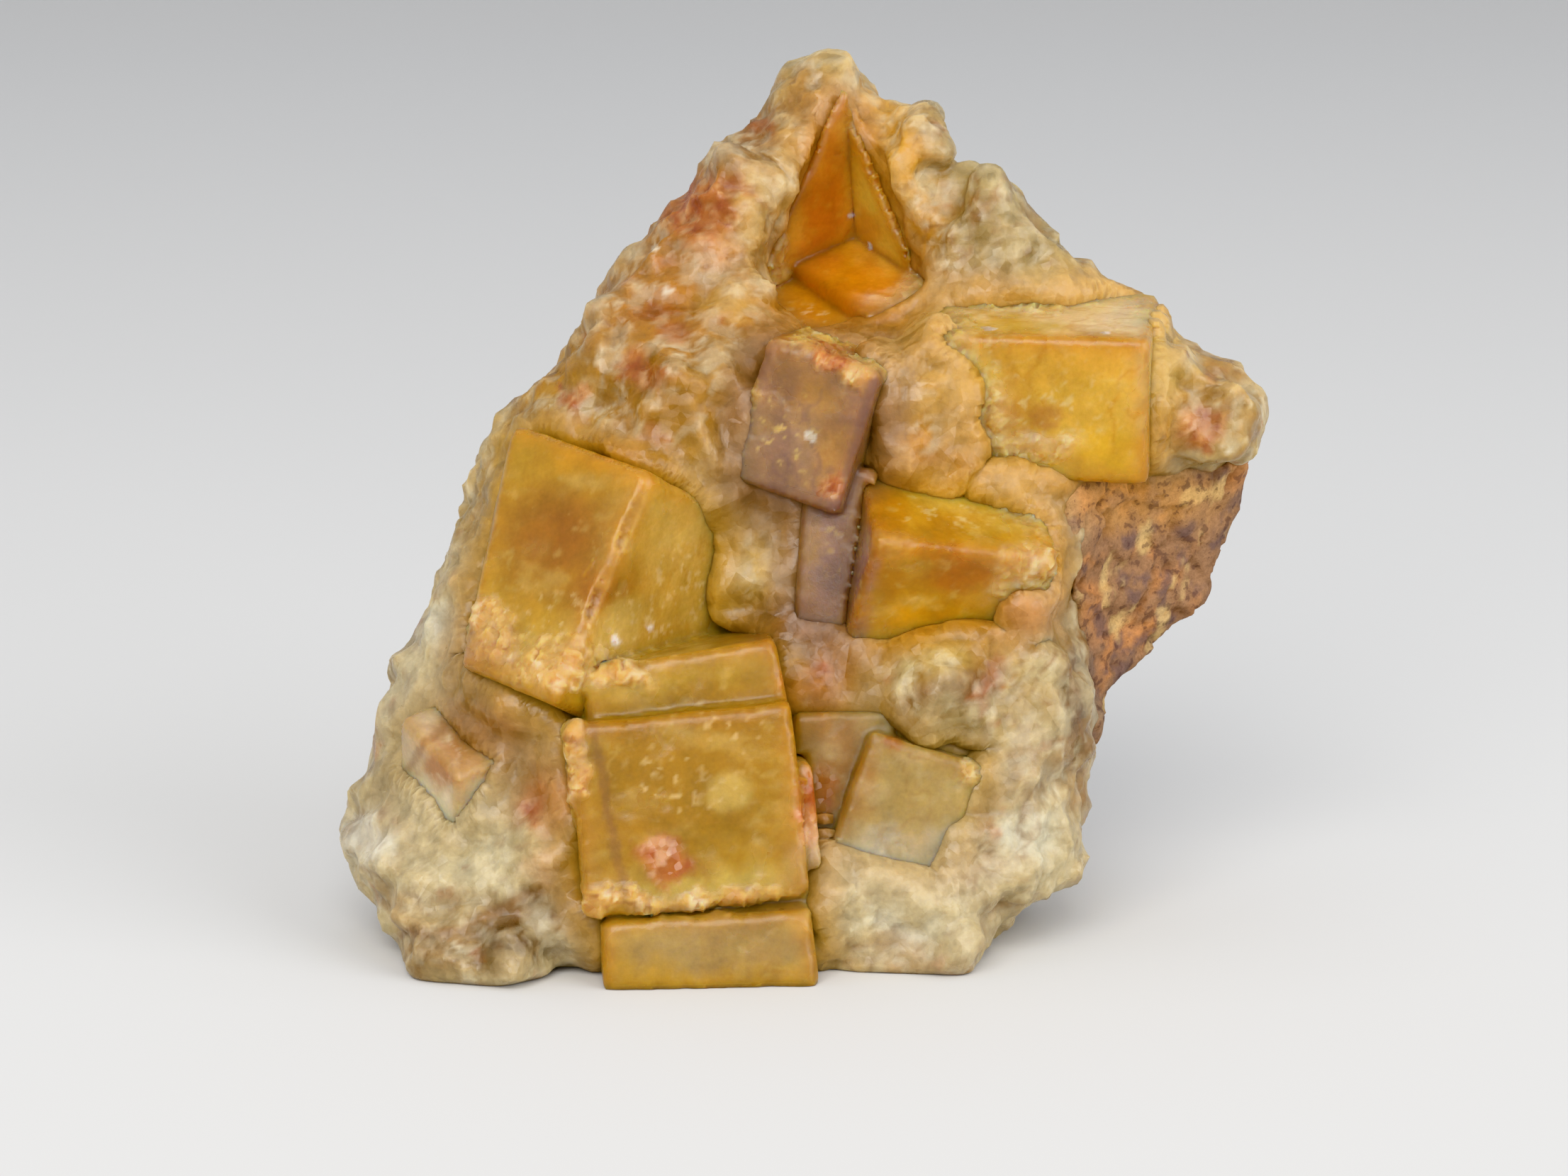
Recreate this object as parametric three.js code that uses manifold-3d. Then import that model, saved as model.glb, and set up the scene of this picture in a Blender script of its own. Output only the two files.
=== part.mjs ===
// A hand specimen of yellow fluorite: cubic crystals on pale massive fluorite, with a
// remnant of iron-stained host rock at its right and back. Millimetres, +Z up.
//
// The forms are laid out in the frame of the specimen's broad crystal face: x to the
// right, y away from the viewer and z up the face. The whole then leans back by LEAN
// and is trimmed flat where it stands.
import * as THREE from "three";
import { mergeVertices } from "three/addons/utils/BufferGeometryUtils.js";
import Module from "manifold-3d";

const wasm = await Module();
wasm.setup();

// Driving dimensions
const LEAN = 12; // degrees that the broad face leans back
const BASE_LEVEL = -25; // height of the resting cut below the face's origin, after the lean
const SEAM = 0.3; // clearance left between minerals that were separate solids
const FRONT_ROWS = 11; // rings of the rock's skin from the middle of the front to its rim
const BACK_ROWS = 8; // and from the rim to the middle of the back
const HEART = [-9, 0]; // x and z of the point that the rock's skin is wrapped round
const ROW_CROWDING = 0.85; // below 1 crowds the rings towards the rim
const SKIN_FLATNESS = 4; // higher keeps the front and back flat closer to the rim
const SKIN_FALL = 0.45; // how steeply they then fall to it
const LUMP = 0.7; // height of the broad lumps on broken rock
const LUMP_REACH = 1.15; // corners of a twelve-sided lump, against its half sizes
const LUMP_SPREAD = 0.4; // share of a lump's height that also moves the skin outwards
const TAPER = 0.003; // how much the outline draws in for each millimetre towards the viewer
const EDGE_SLACK = 0.35; // how far angular lumps may stand out past the rim
const RIM_DEPTH = 80; // length of the slab that trims them, well past the front and back
const GROUND = [300, 300, 100]; // block that the resting cut takes off, larger than the specimen

// The rock's rim, clockwise from its peak: x, y and z on the face. The points below
// z = -29 lie under the resting cut, so that the foot keeps its full thickness.
const RIM = [
  [3.5, 4, 41],
  [5.5, 4, 39.5],
  [8, 4.5, 36.5],
  [11.4, 4.5, 36.5],
  [12.5, 4.5, 33.5],
  [16.6, 4, 30.6],
  [18, 3.5, 28],
  [21, 3, 25.5],
  [23.5, 2, 23],
  [28.5, -2, 21.5],
  [28.5, -2, 18],
  [33, 0, 17],
  [36, 1, 14],
  [35, 2, 12],
  [35.5, 2, 10],
  [34.5, 3, 6.5],
  [33, 4, 2],
  [32.5, 4, -1],
  [30, 4, -2.5],
  [28, 4, -4.5],
  [24.5, 3, -8],
  [24, 2, -12],
  [22, 1, -15.5],
  [21.5, 0, -21],
  [18, -2, -23.5],
  [16, -3, -22.5],
  [14.4, -4, -27],
  [13.5, -4, -33],
  [11, -2, -40],
  [-20, -2, -40],
  [-27, -6, -31],
  [-29, -6, -24.5],
  [-30, -5, -21.5],
  [-33, -3, -18.5],
  [-31.5, -2, -16],
  [-31, -1, -13],
  [-30, 0, -8.5],
  [-29.5, 1, -5],
  [-27.5, 1, -4.5],
  [-27, 1, -1.5],
  [-24, 0, 1],
  [-23.5, 0, 3],
  [-21.5, 0, 11.5],
  [-18, 1, 15.5],
  [-15, 2, 17],
  [-12, 2.5, 23.5],
  [-9, 3, 27.5],
  [-3.5, 3.5, 33],
  [-2.5, 4, 36],
  [0, 4, 39],
];

// How far forward the rock stands at places on its front: x, z and y
const FRONT = [
  [4.5, 38.5, -6], // at the peak, above the summit crystal
  [-1.5, 33, -3.5], // crust left of it
  [10, 32, -5.5], // crust right of it
  [4, 26, -4], // across the summit's hollow
  [-6.5, 25, -4.5], // upper left crust
  [-13.5, 16, -6], // left shoulder
  [16.5, 25, -4], // upper right flank
  [-8, 15, -10.8], // slope above the big left crystal
  [-3.5, 10.5, -10.5], // between it and the violet cube
  [2, 9.5, -9.6], // hollow between the crystals
  [-2.8, 0, -5.5], // right of the big left crystal
  [0.4, 3, -8.5], // beside the violet strip
  [3.5, -5.5, -9.5], // foot of the hollow
  [19.4, 3, -11], // right of the middle cube
  [30, 14, -7], // right shoulder
  [26, 1.5, -4], // host rock
  [29, -1, 0], // its lower edge
  [16.5, -9.5, -10.5], // below the right crystals
  [3, -16, -12], // between the lower cubes
  [10, -24, -13], // lower right foot
  [-5.5, -27, -13], // middle of the foot
  [-18.6, -17, -14], // left of the lower cube
  [-19.6, -8.8, -13.4], // under the big left crystal
  [-26, -19.5, -12], // lower left
  [-24, -27, -13], // lower left foot
  [-28.5, -9, -5], // left edge
  [-16, -3.5, -8], // behind the big left crystal
];
const FRONT_REACH = 5.5; // how far each of those places is felt
const FRONT_SOFTNESS = 0.15; // evens the front out close to each place
const BACK = 14; // how far back the rock stands behind the face's origin

// Waves that make up the lumps: share, radians per millimetre along x, y and z, and start
const LUMP_WAVES = [
  { share: 0.4, run: [0.9, 0.4, 0.8], start: 1.3 },
  { share: 0.35, run: [-1.1, 0.6, 1.6], start: 0 },
  { share: 0.25, run: [1.9, 0.8, -0.5], start: 2 },
];

// Flat fracture faces on the back and sides: a point on each and its outward direction
const FRACTURES = [
  { through: [0, 13.5, 0], facing: [-0.1, 1, 0.12] },
  { through: [-17, 10, 4], facing: [-0.75, 0.8, 0.2] },
  { through: [18, 13, 14], facing: [0.5, 0.85, 0.2] },
  { through: [-4, 12.5, 26], facing: [-0.3, 0.9, 0.3] },
  { through: [21, 9.5, -10], facing: [0.62, 0.7, -0.35] },
  { through: [-20, 9, -17], facing: [-0.6, 0.8, -0.1] },
];
const FRACTURE_CUT = 90; // side of the block that takes each fracture off

// Stepped blocks that stand out of the pale rock: middle, size and turn in degrees
const ROCK_BLOCKS = [
  { at: [9.9, 1.6, 34.6], size: [4.2, 9, 4], turn: [10, 10, -4] }, // knob right of the peak
  { at: [15.4, 0, 27.4], size: [7, 7, 5.4], turn: [18, 12, 34] }, // upper right flank
  { at: [31, -4, 13.4], size: [9, 9, 7.2], turn: [-12, 12, 14] }, // right shoulder
  { at: [25.5, -4.4, 18.6], size: [5, 8, 4], turn: [-8, 12, 6] },
  { at: [17.2, -7.8, -7.6], size: [8.6, 6, 6.5], turn: [15, 10, 8] }, // under the right crystals
  { at: [19.4, -5.2, -12.6], size: [6, 6, 7], turn: [25, 0, 12] },
  { at: [11.4, -10.2, -7.4], size: [5.4, 6, 4.6], turn: [24, 16, -22] },
  { at: [16.8, -8, -14.6], size: [4.6, 6, 5], turn: [-12, 14, 22] },
  { at: [15, -8.2, -20.4], size: [6.6, 7, 4.6], turn: [10, 10, 16] },
  { at: [7.6, -9.6, -23.4], size: [8.5, 7, 4.6], turn: [5, 8, 8] },
  { at: [9.6, -9.4, -26.4], size: [9.5, 7, 5], turn: [-6, 4, 12] },
  { at: [-25, -10.6, -26.4], size: [7.5, 7, 4.6], turn: [-10, 8, 6] }, // lower left slab
  { at: [-7.2, -9, 12.4], size: [9, 6, 7], turn: [14, 18, 22] }, // behind the big crystal
  { at: [-12.2, -6.4, 17], size: [7, 6, 4], turn: [-22, 14, 24] },
];

// Angular lumps of broken rock: middle, half size and turn in degrees
const ROCK_LUMPS = [
  { at: [-5, -1.6, 28], size: [5, 3.6, 6], turn: [-20, 10, -42] }, // upper left crust
  { at: [-9.4, -2, 23.4], size: [5.2, 3.6, 5], turn: [25, 20, -38] },
  { at: [-10.4, -4.4, 18.6], size: [5.6, 3.4, 3.4], turn: [-15, 20, 26] },
  { at: [-15, -3.6, 14], size: [5.6, 3.6, 3.4], turn: [-15, 12, 18] },
  { at: [19.6, 0, 24.6], size: [4.6, 3.6, 3.4], turn: [-10, 20, 34] }, // upper right flank
  { at: [10.4, -8.6, 15.6], size: [4.6, 3.4, 4.2], turn: [20, 15, 10] }, // by the terrace
  { at: [10.8, -8.6, 10.6], size: [3.6, 3.2, 3.2], turn: [5, 30, 25] },
  { at: [-4.2, -6.8, 17.4], size: [3.4, 2.6, 2.8], turn: [-20, 20, 10] },
  { at: [18.4, -9.2, -0.8], size: [2.6, 2.6, 2.8], turn: [20, 15, 30] }, // beside the right cube
  { at: [17.2, -4.6, -18.8], size: [3.6, 3.6, 4.4], turn: [20, -5, 32] }, // hanging lobe
  { at: [18.4, -3.6, -21.2], size: [3, 3.2, 3], turn: [0, 25, 12] },
  { at: [-22.6, -11.4, -26.4], size: [6.6, 4.6, 4.2], turn: [-10, 10, 8] }, // lower left
  { at: [-17.6, -10.2, -25.4], size: [3.4, 3.6, 3], turn: [15, 35, -20] },
  { at: [-27.6, -6.8, -20.4], size: [4.4, 4.2, 5], turn: [-20, 10, 40] },
  { at: [-30, -4, -18.2], size: [3.4, 3.6, 2.8], turn: [5, 15, 20] },
  { at: [-17.2, -11.6, -18.6], size: [2.1, 2.4, 4], turn: [0, 6, 36] },
  { at: [-27, -1.8, -7.6], size: [3.4, 3.6, 4.6], turn: [-15, 5, 10] },
  { at: [-25, -4, -2.4], size: [3, 3.4, 3], turn: [35, 5, 20] },
];

// Bites out of the rock: a notch under its foot, and the steps where its back split off
const BITES = [
  { at: [-14.9, -14, -29.2], size: [2.6, 14, 6], turn: [12, 0, -18] },
  { at: [-10, 15.3, -15], size: [21, 5, 16], turn: [7, 5, 14] },
  { at: [7, 14.4, 19], size: [13, 6, 19], turn: [-9, -6, 22] },
  { at: [-15, 12.6, 8], size: [9, 6, 13], turn: [-32, 4, -16] },
  { at: [15, 17, -7], size: [13, 5, 10], turn: [18, -8, 26] },
  { at: [0, 15.6, 4], size: [10, 4.4, 9], turn: [6, 8, -30] },
];

// The host rock's share of the rim's right side, and what it leaves on the back
const HOST_SIDE = { at: [31.4, 2, -0.8], size: [19.5, 40, 20], turn: [0, 0, -7] };
const HOST_BACK = [
  { at: [14, 18, 1], size: [20, 10, 11], turn: [4, -6, -12] },
  { at: [-1, 17, -5], size: [11, 8, 8], turn: [20, 12, 24] },
];

// Cubic crystals. Each has the place of one corner, its turn, and its blocks in its own
// axes: low and high corner of the cube and of each growth step on it. Hollows are blocks
// that neither the crystal nor the rock fills. A broken side is given as a fracture is.
const CRYSTALS = {
  left_crystals: [
    {
      corner: [-9.7, -17, 8.1], // the big cube, an upright edge towards the viewer
      turn: [54, 17, 16],
      blocks: [
        [[0, 0, -17.6], [18.2, 13, 0]],
        [[1.4, -0.4, -13.5], [15.2, 2, -1.6]],
        [[4.2, -0.75, -9], [12.4, 2, -3.4]],
        [[-0.35, 1.8, -14], [2, 10.4, -1.8]],
        [[16, 2.2, -11], [18.7, 9, -1.4]],
      ],
      broken: [{ through: [-24, 0, -3.5], facing: [-0.97, -0.1, 0.21] }],
    },
    {
      corner: [-15.4, -18, -10.1], // the lower cube, one face to the viewer
      turn: [4, 4, -6],
      blocks: [
        [[0, 0, -13.6], [15.8, 14, 0]],
        [[1.6, -0.4, -11.4], [12.6, 2, -2]],
        [[8.6, -0.8, -8.4], [11.8, 2, -5]],
        [[15, 1.4, -12], [16.9, 10, -4.5]],
      ],
    },
    {
      corner: [-0.7, -15.4, -3.8], // a corner of a third cube between them
      turn: [4, 4, -10],
      blocks: [
        [[-14, 0, -7], [0, 14, 0]],
        [[-8, -0.35, -5], [-0.8, 2, -0.8]],
      ],
    },
    {
      corner: [-13, -16.6, -24.2], // the ledge under the lower cube
      turn: [4, 4, -3],
      blocks: [
        [[0, 0, -9], [15.2, 12, 0]],
        [[0.6, 0.9, -2], [14.4, 10, 1.1]],
      ],
    },
  ],
  summit_crystals: [
    {
      corner: [5.6, 6, 27], // two walls of the summit's hollow, a gable up to the peak
      turn: [-140, -26.5, 25.5],
      blocks: [
        [[-2, -2, -2.5], [6, 10, 13.5]],
        [[-2, -2, -3], [9.5, 0, 13.5]],
      ],
      hollows: [[[0, 0, 0], [12, 10, 16]]],
      broken: [
        { through: [-2.2, 1.9, 23.4], facing: [-0.85, 0.3, 0.47] },
        { through: [11.3, -0.9, 22.5], facing: [0.85, 0.3, 0.39] },
      ],
    },
    {
      corner: [5.6, 6, 27], // the terrace at their foot, and the lower step left of it
      turn: [-140, -26.5, 25.5],
      blocks: [
        [[-1.5, -1.5, -3], [6, 10, 0]],
        [[2, -1.5, -4], [12, 8.5, -1.2]],
      ],
      hollows: [
        [[0, 0, 0], [6, 10, 3]],
        [[6, 0, -1.2], [12, 8.5, 3]],
      ],
      broken: [{ through: [-2.6, 0, 23], facing: [-0.55, 0.1, 0.83] }],
    },
  ],
  right_crystals: [
    {
      corner: [26.4, -13, 17.9], // the shoulder, its top towards the light
      turn: [-8, 18, 2],
      blocks: [
        [[-15.6, 0, -10.6], [0, 13, 0]],
        [[-11, -0.4, -9.4], [-1.4, 2, -1.2]],
        [[-13.6, 1.2, -2], [-4, 11, 0.45]],
      ],
    },
    {
      corner: [6.8, -16, 3.4], // the cube below it
      turn: [9, 38, 8],
      blocks: [
        [[0, 0, -10], [13.4, 9.8, 0]],
        [[1, -0.35, -8.6], [7.6, 2, -0.9]],
        [[2, 1.4, -2], [12, 9, 0.4]],
      ],
    },
  ],
  corner_crystals: [
    {
      corner: [6.5, -13.2, -10.7], // the pale cube at the lower right
      turn: [6, 8, 18],
      blocks: [
        [[0, 0, -9.6], [8.2, 8, 0]],
        [[0.8, -0.35, -4.6], [7.4, 2, -0.6]],
      ],
    },
    {
      corner: [0.9, -12, -9.4], // its brown companion
      turn: [4, 6, -2],
      blocks: [[[0, 0, -10], [7, 8, 0]]],
    },
  ],
  violet_crystals: [
    {
      corner: [-1, -13.4, 18], // the cube under the terrace
      turn: [-14, 8, 19],
      blocks: [
        [[0, 0, -10.5], [8.3, 9, 0]],
        [[0.6, -0.35, -6], [5, 2, -0.6]],
      ],
    },
    {
      corner: [1.6, -11, 8.8], // the strip down the hollow
      turn: [-6, 4, 4],
      blocks: [
        [[0, 0, -11.5], [5, 8, 0]],
        [[1.8, -0.6, -9.4], [4.6, 2, -3]],
      ],
    },
    {
      corner: [-3.6, -9.4, -1.4], // brown cube in the big crystal's shadow
      turn: [22, 8, 30],
      blocks: [[[0, 0, -5], [8.4, 8, 0]]],
    },
  ],
  foot_crystal: [
    {
      corner: [-23.6, -14.2, -13.7], // the milky cube at the lower left
      turn: [43, 32, -22],
      blocks: [
        [[0, 0, -12], [7.2, 7.6, 0]],
        [[0.9, -0.35, -10.4], [6, 2, -1]],
        [[-0.35, 1, -9], [2, 6, -1.4]],
      ],
    },
  ],
};

const FINISH = {
  pale_matrix: { color: 0xd9c79b, roughness: 0.55 },
  host_rock: { color: 0x8a4f38, roughness: 0.9 },
  left_crystals: { color: 0xc79a2b, roughness: 0.25 },
  summit_crystals: { color: 0xc97f1c, roughness: 0.2 },
  right_crystals: { color: 0xd9a030, roughness: 0.25 },
  corner_crystals: { color: 0xc9b06a, roughness: 0.3 },
  violet_crystals: { color: 0x8d6a55, roughness: 0.35 },
  foot_crystal: { color: 0xd2c08c, roughness: 0.35 },
};

// A closed geometry as a solid that can be joined and cut
function solidOf(geometry) {
  const bare = new THREE.BufferGeometry();
  bare.setAttribute("position", geometry.getAttribute("position"));
  bare.setIndex(geometry.getIndex());
  const merged = mergeVertices(bare, 1e-4);
  return new wasm.Manifold(
    new wasm.Mesh({
      numProp: 3,
      vertProperties: merged.attributes.position.array,
      triVerts: new Uint32Array(merged.index.array),
    }),
  );
}

function joined(solids) {
  return solids.reduce((all, next) => all.add(next));
}

// What is left of a solid's crumbs once cut: its largest piece
function largestPiece(solid) {
  return solid.decompose().reduce((a, b) => (a.volume() > b.volume() ? a : b));
}

// Turn about z, then x, then y, in degrees
function turned(geometry, [yaw, pitch, roll]) {
  const angles = [pitch, roll, yaw].map(THREE.MathUtils.degToRad);
  return geometry.applyMatrix4(
    new THREE.Matrix4().makeRotationFromEuler(new THREE.Euler(...angles, "ZXY")),
  );
}

// A rectangular block with its middle at a place on the face
function block({ at, size, turn }, extra = 0) {
  const grown = size.map((s) => s + 2 * extra);
  return solidOf(turned(new THREE.BoxGeometry(...grown), turn).translate(...at));
}

// An angular lump with twelve faces, of about the given half sizes
function lump({ at, size, turn }, extra = 0) {
  const faces = new THREE.DodecahedronGeometry(LUMP_REACH).scale(...size.map((s) => s + extra));
  return solidOf(turned(faces, turn).translate(...at));
}

// A large block whose one face lies on a fracture, to take off what is beyond it
function beyondFracture({ through, facing }, extra = 0) {
  const outward = new THREE.Vector3(...facing).normalize();
  const box = new THREE.BoxGeometry(FRACTURE_CUT, FRACTURE_CUT, FRACTURE_CUT);
  box.translate(0, 0, FRACTURE_CUT / 2 + extra);
  const aim = new THREE.Quaternion().setFromUnitVectors(new THREE.Vector3(0, 0, 1), outward);
  box.applyMatrix4(new THREE.Matrix4().makeRotationFromQuaternion(aim));
  return solidOf(box.translate(...through));
}

function fractured(solid, faces = FRACTURES, extra = 0) {
  return faces.reduce((left, face) => left.subtract(beyondFracture(face, extra)), solid);
}

// Blocks in a crystal's own axes, put in its place and each grown by extra on every side
function inPlace(blocks, { corner, turn }, extra = 0) {
  return blocks.map(([low, high]) => {
    const size = high.map((h, i) => h - low[i] + 2 * extra);
    const middle = high.map((h, i) => (h + low[i]) / 2);
    const box = new THREE.BoxGeometry(...size).translate(...middle);
    return solidOf(turned(box, turn).translate(...corner));
  });
}

// One crystal, grown by extra: its cube and growth steps joined, less its hollows
function crystal(one, extra = 0) {
  const whole = joined(inPlace(one.blocks, one, extra));
  const { hollows = [], broken = [] } = one;
  const left = inPlace(hollows, one, -extra).reduce((rest, hollow) => rest.subtract(hollow), whole);
  return fractured(left, broken, extra);
}

function crystalGroup(name, extra = 0) {
  return joined(CRYSTALS[name].map((one) => crystal(one, extra)));
}

// The room in front of hollow crystals, which the rock leaves free
function hollowRoom() {
  const hollow = Object.values(CRYSTALS).flat().filter((one) => one.hollows);
  return joined(hollow.map((one) => fractured(joined(inPlace(one.hollows, one)), one.broken ?? [])));
}

// Broad lumps of broken rock: crossing waves that add up to between -1 and 1
function lumps(...point) {
  return LUMP_WAVES.reduce((sum, { share, run, start }) => {
    const along = run.reduce((total, rate, i) => total + rate * point[i], start);
    return sum + share * Math.sin(along);
  }, 0);
}

// How far forward the rock stands at x, z: the places in FRONT, blended by nearness
function frontDepth(x, z) {
  let sum = 0;
  let weights = 0;
  for (const [px, pz, depth] of FRONT) {
    const away = Math.hypot(x - px, z - pz) / FRONT_REACH;
    const weight = 1 / (FRONT_SOFTNESS + away ** 4);
    sum += weight * depth;
    weights += weight;
  }
  return sum / weights;
}

// The rim's point at a column: every other column is halfway between two of its corners
function rimPoint(column) {
  const from = Math.floor(column / 2) % RIM.length;
  const to = (from + (column % 2)) % RIM.length;
  return RIM[from].map((v, i) => (v + RIM[to][i]) / 2);
}

// The rock's skin: a sphere's grid whose rows run from the middle of the front over the
// rim to the middle of the back, and whose columns run round the rim. The sphere's own
// columns run anticlockwise, so the rim is read backwards.
function rockSkin() {
  const columns = RIM.length * 2;
  const rows = FRONT_ROWS + BACK_ROWS;
  const grid = new THREE.SphereGeometry(1, columns, rows);
  const place = grid.getAttribute("position");
  const [heartX, heartZ] = HEART;
  for (let row = 0; row <= rows; row++) {
    const isFront = row <= FRONT_ROWS;
    const share = isFront ? row / FRONT_ROWS : (rows - row) / BACK_ROWS;
    const reach = Math.sin((share * Math.PI) / 2) ** ROW_CROWDING;
    const bulge = (1 - reach ** SKIN_FLATNESS) ** SKIN_FALL;
    for (let column = 0; column <= columns; column++) {
      const [rimX, rimY, rimZ] = rimPoint((columns - column) % columns);
      const x = heartX + reach * (rimX - heartX);
      const z = heartZ + reach * (rimZ - heartZ);
      const middle = isFront ? frontDepth(x, z) : BACK;
      const y = rimY * (1 - bulge) + middle * bulge;
      const raised = LUMP * reach * lumps(x, y, z);
      const out = reach * LUMP_SPREAD * raised;
      const forward = isFront ? -raised : raised;
      place.setXYZ(row * (columns + 1) + column, x + out, y + forward, z + out);
    }
  }
  return solidOf(grid);
}

// The rim's outline carried forwards and backwards, to trim what stands out past it
function withinRim() {
  const outline = RIM.map(([x, y, z]) => {
    const out = (1 + EDGE_SLACK / Math.hypot(x, z)) / (1 + TAPER * y);
    return new THREE.Vector2(x * out, z * out);
  });
  const settings = { depth: RIM_DEPTH, bevelEnabled: false };
  const slab = new THREE.ExtrudeGeometry(new THREE.Shape(outline), settings);
  slab.translate(0, 0, -RIM_DEPTH / 2).rotateX(Math.PI / 2);
  const place = slab.getAttribute("position");
  for (let i = 0; i < place.count; i++) {
    const drawIn = 1 + TAPER * place.getY(i);
    place.setX(i, place.getX(i) * drawIn);
    place.setZ(i, place.getZ(i) * drawIn);
  }
  return solidOf(slab);
}

function wholeRock() {
  const raised = [...ROCK_BLOCKS.map((one) => block(one)), ...ROCK_LUMPS.map((one) => lump(one))];
  const rock = rockSkin().add(joined(raised).intersect(withinRim()));
  const bitten = fractured(rock).subtract(joined(BITES.map((one) => block(one))));
  return bitten.subtract(hollowRoom());
}

// Leans the specimen back and trims it flat where it stands
function stood(solid) {
  const leaning = solid.rotate([-LEAN, 0, 0]);
  const ground = new THREE.BoxGeometry(...GROUND).translate(0, 0, BASE_LEVEL - GROUND[2] / 2);
  return largestPiece(leaning.subtract(solidOf(ground)));
}

// The room that the host rock takes, grown by extra on every side
function hostRoom(extra = 0) {
  return joined([block(HOST_SIDE, extra), ...HOST_BACK.map((one) => lump(one, extra))]);
}

// Every mineral's solid. Crystals listed first grew last: they keep their whole form and
// cut the crystals below them and the rock.
function minerals() {
  const solids = new Map();
  let grown = null;
  for (const name of Object.keys(CRYSTALS)) {
    const whole = fractured(crystalGroup(name));
    const room = crystalGroup(name, SEAM);
    solids.set(name, grown ? whole.subtract(grown) : whole);
    grown = grown ? grown.add(room) : room;
  }
  const rock = wholeRock();
  solids.set("host_rock", rock.intersect(hostRoom()).subtract(grown));
  solids.set("pale_matrix", rock.subtract(hostRoom(SEAM)).subtract(grown));
  return solids;
}

function meshOf(name, solid) {
  const { vertProperties, triVerts } = solid.getMesh();
  const geometry = new THREE.BufferGeometry();
  geometry.setAttribute("position", new THREE.BufferAttribute(new Float32Array(vertProperties), 3));
  geometry.setIndex(new THREE.BufferAttribute(new Uint32Array(triVerts), 1));
  geometry.computeVertexNormals();
  const material = new THREE.MeshStandardMaterial({ metalness: 0, ...FINISH[name] });
  const mesh = new THREE.Mesh(geometry, material);
  mesh.name = name;
  return mesh;
}

// The specimen stands on z = 0 with the middle of its outline over the origin
const specimen = new THREE.Group();
for (const [name, solid] of minerals()) specimen.add(meshOf(name, stood(solid)));
const extent = new THREE.Box3().setFromObject(specimen);
const middle = extent.getCenter(new THREE.Vector3());
specimen.position.set(-middle.x, -middle.y, -extent.min.z);

export default specimen;
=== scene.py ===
# %% [markdown]
# # A fluorite specimen
# Fluorite grows as cubes. This hand specimen carries honey-yellow and amber cubes on pale
# massive fluorite, with a piece of red-brown wall rock left at its right and back. The
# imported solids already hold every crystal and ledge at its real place. This lesson turns
# each solid into a fine skin, adds the growth steps, pits and broken surfaces with numpy,
# and then gives every mineral its colour, cloudiness and gloss.

# %% The frame and the units
import math

import bpy
import numpy as np
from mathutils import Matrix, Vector


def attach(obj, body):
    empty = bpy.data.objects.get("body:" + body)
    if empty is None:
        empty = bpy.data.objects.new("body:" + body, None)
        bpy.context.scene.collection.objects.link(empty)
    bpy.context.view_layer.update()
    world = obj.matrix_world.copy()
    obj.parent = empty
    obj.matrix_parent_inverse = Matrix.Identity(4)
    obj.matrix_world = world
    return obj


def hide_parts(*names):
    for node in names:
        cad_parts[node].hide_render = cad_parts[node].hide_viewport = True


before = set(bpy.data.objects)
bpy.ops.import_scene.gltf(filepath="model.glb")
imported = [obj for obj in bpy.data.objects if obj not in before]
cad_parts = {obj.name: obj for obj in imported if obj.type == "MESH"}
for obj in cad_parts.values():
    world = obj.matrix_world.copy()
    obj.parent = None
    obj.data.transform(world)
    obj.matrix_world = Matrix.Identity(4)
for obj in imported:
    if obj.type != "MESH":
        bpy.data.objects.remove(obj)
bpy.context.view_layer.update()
MM = 0.001
print("solids in the frame:", sorted(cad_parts))


# %% [markdown]
# ## The broad face
# The crystals were measured on the specimen's broad face, which leans back by 12 degrees.
# All markings are placed on that face as they are seen from its front: x to the right and
# z up, in millimetres, from the middle of the photograph. One function carries a point of
# the part to that face, and the camera later looks straight at it.

# %% Points as they are seen on the face
LEAN = math.radians(12)
FACE_ORIGIN = np.array([-1.52, 2.47, 25.0]) * MM
VIEW_DISTANCE = 330 * MM
FACE_RIGHT = np.array([1, 0, 0])
FACE_AWAY = np.array([0, math.cos(LEAN), -math.sin(LEAN)])
FACE_UP = np.array([0, math.sin(LEAN), math.cos(LEAN)])


def on_face(points):
    """Distances right, away and up from the face's origin, in millimetres: the dot
    product of each point with the face's own three directions."""
    return (points - FACE_ORIGIN) @ np.stack([FACE_RIGHT, FACE_AWAY, FACE_UP], 1) / MM


def as_seen(points):
    """Where points are seen on the face, in millimetres: x and z shrink with distance from
    the viewer, as in a photograph."""
    right, away, up = on_face(points).T
    nearer = VIEW_DISTANCE / (VIEW_DISTANCE + away * MM)
    return right * nearer, up * nearer, away


print("the face leans back", round(math.degrees(LEAN)), "degrees")


# %% [markdown]
# ## Repeatable randomness
# Broken stone is irregular on every scale. All of it comes from one hash: a number for
# each cell of a lattice that is always the same for the same cell. Smooth noise blends
# those numbers, and shards give each cell a flat face with its own tilt, which is what a
# cleavable mineral such as fluorite shows where it is broken. In the creased kind such
# flats meet edge to edge.

# %% Noise from a lattice
def cell_value(cell, seed):
    """A number from 0 to 1 for each whole-number cell: the three indices times large odd
    numbers, mixed by shifts, and cut to 24 bits."""
    mixed = cell @ np.array([374761393, 668265263, 974711917]) + seed * 1446647
    mixed = (mixed ^ (mixed >> 13)) & 0xFFFFFFFF
    mixed = (mixed * 1274126177) & 0xFFFFFFFF
    mixed = mixed ^ (mixed >> 16)
    return (mixed & 0xFFFFFF) / 0xFFFFFF


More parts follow.
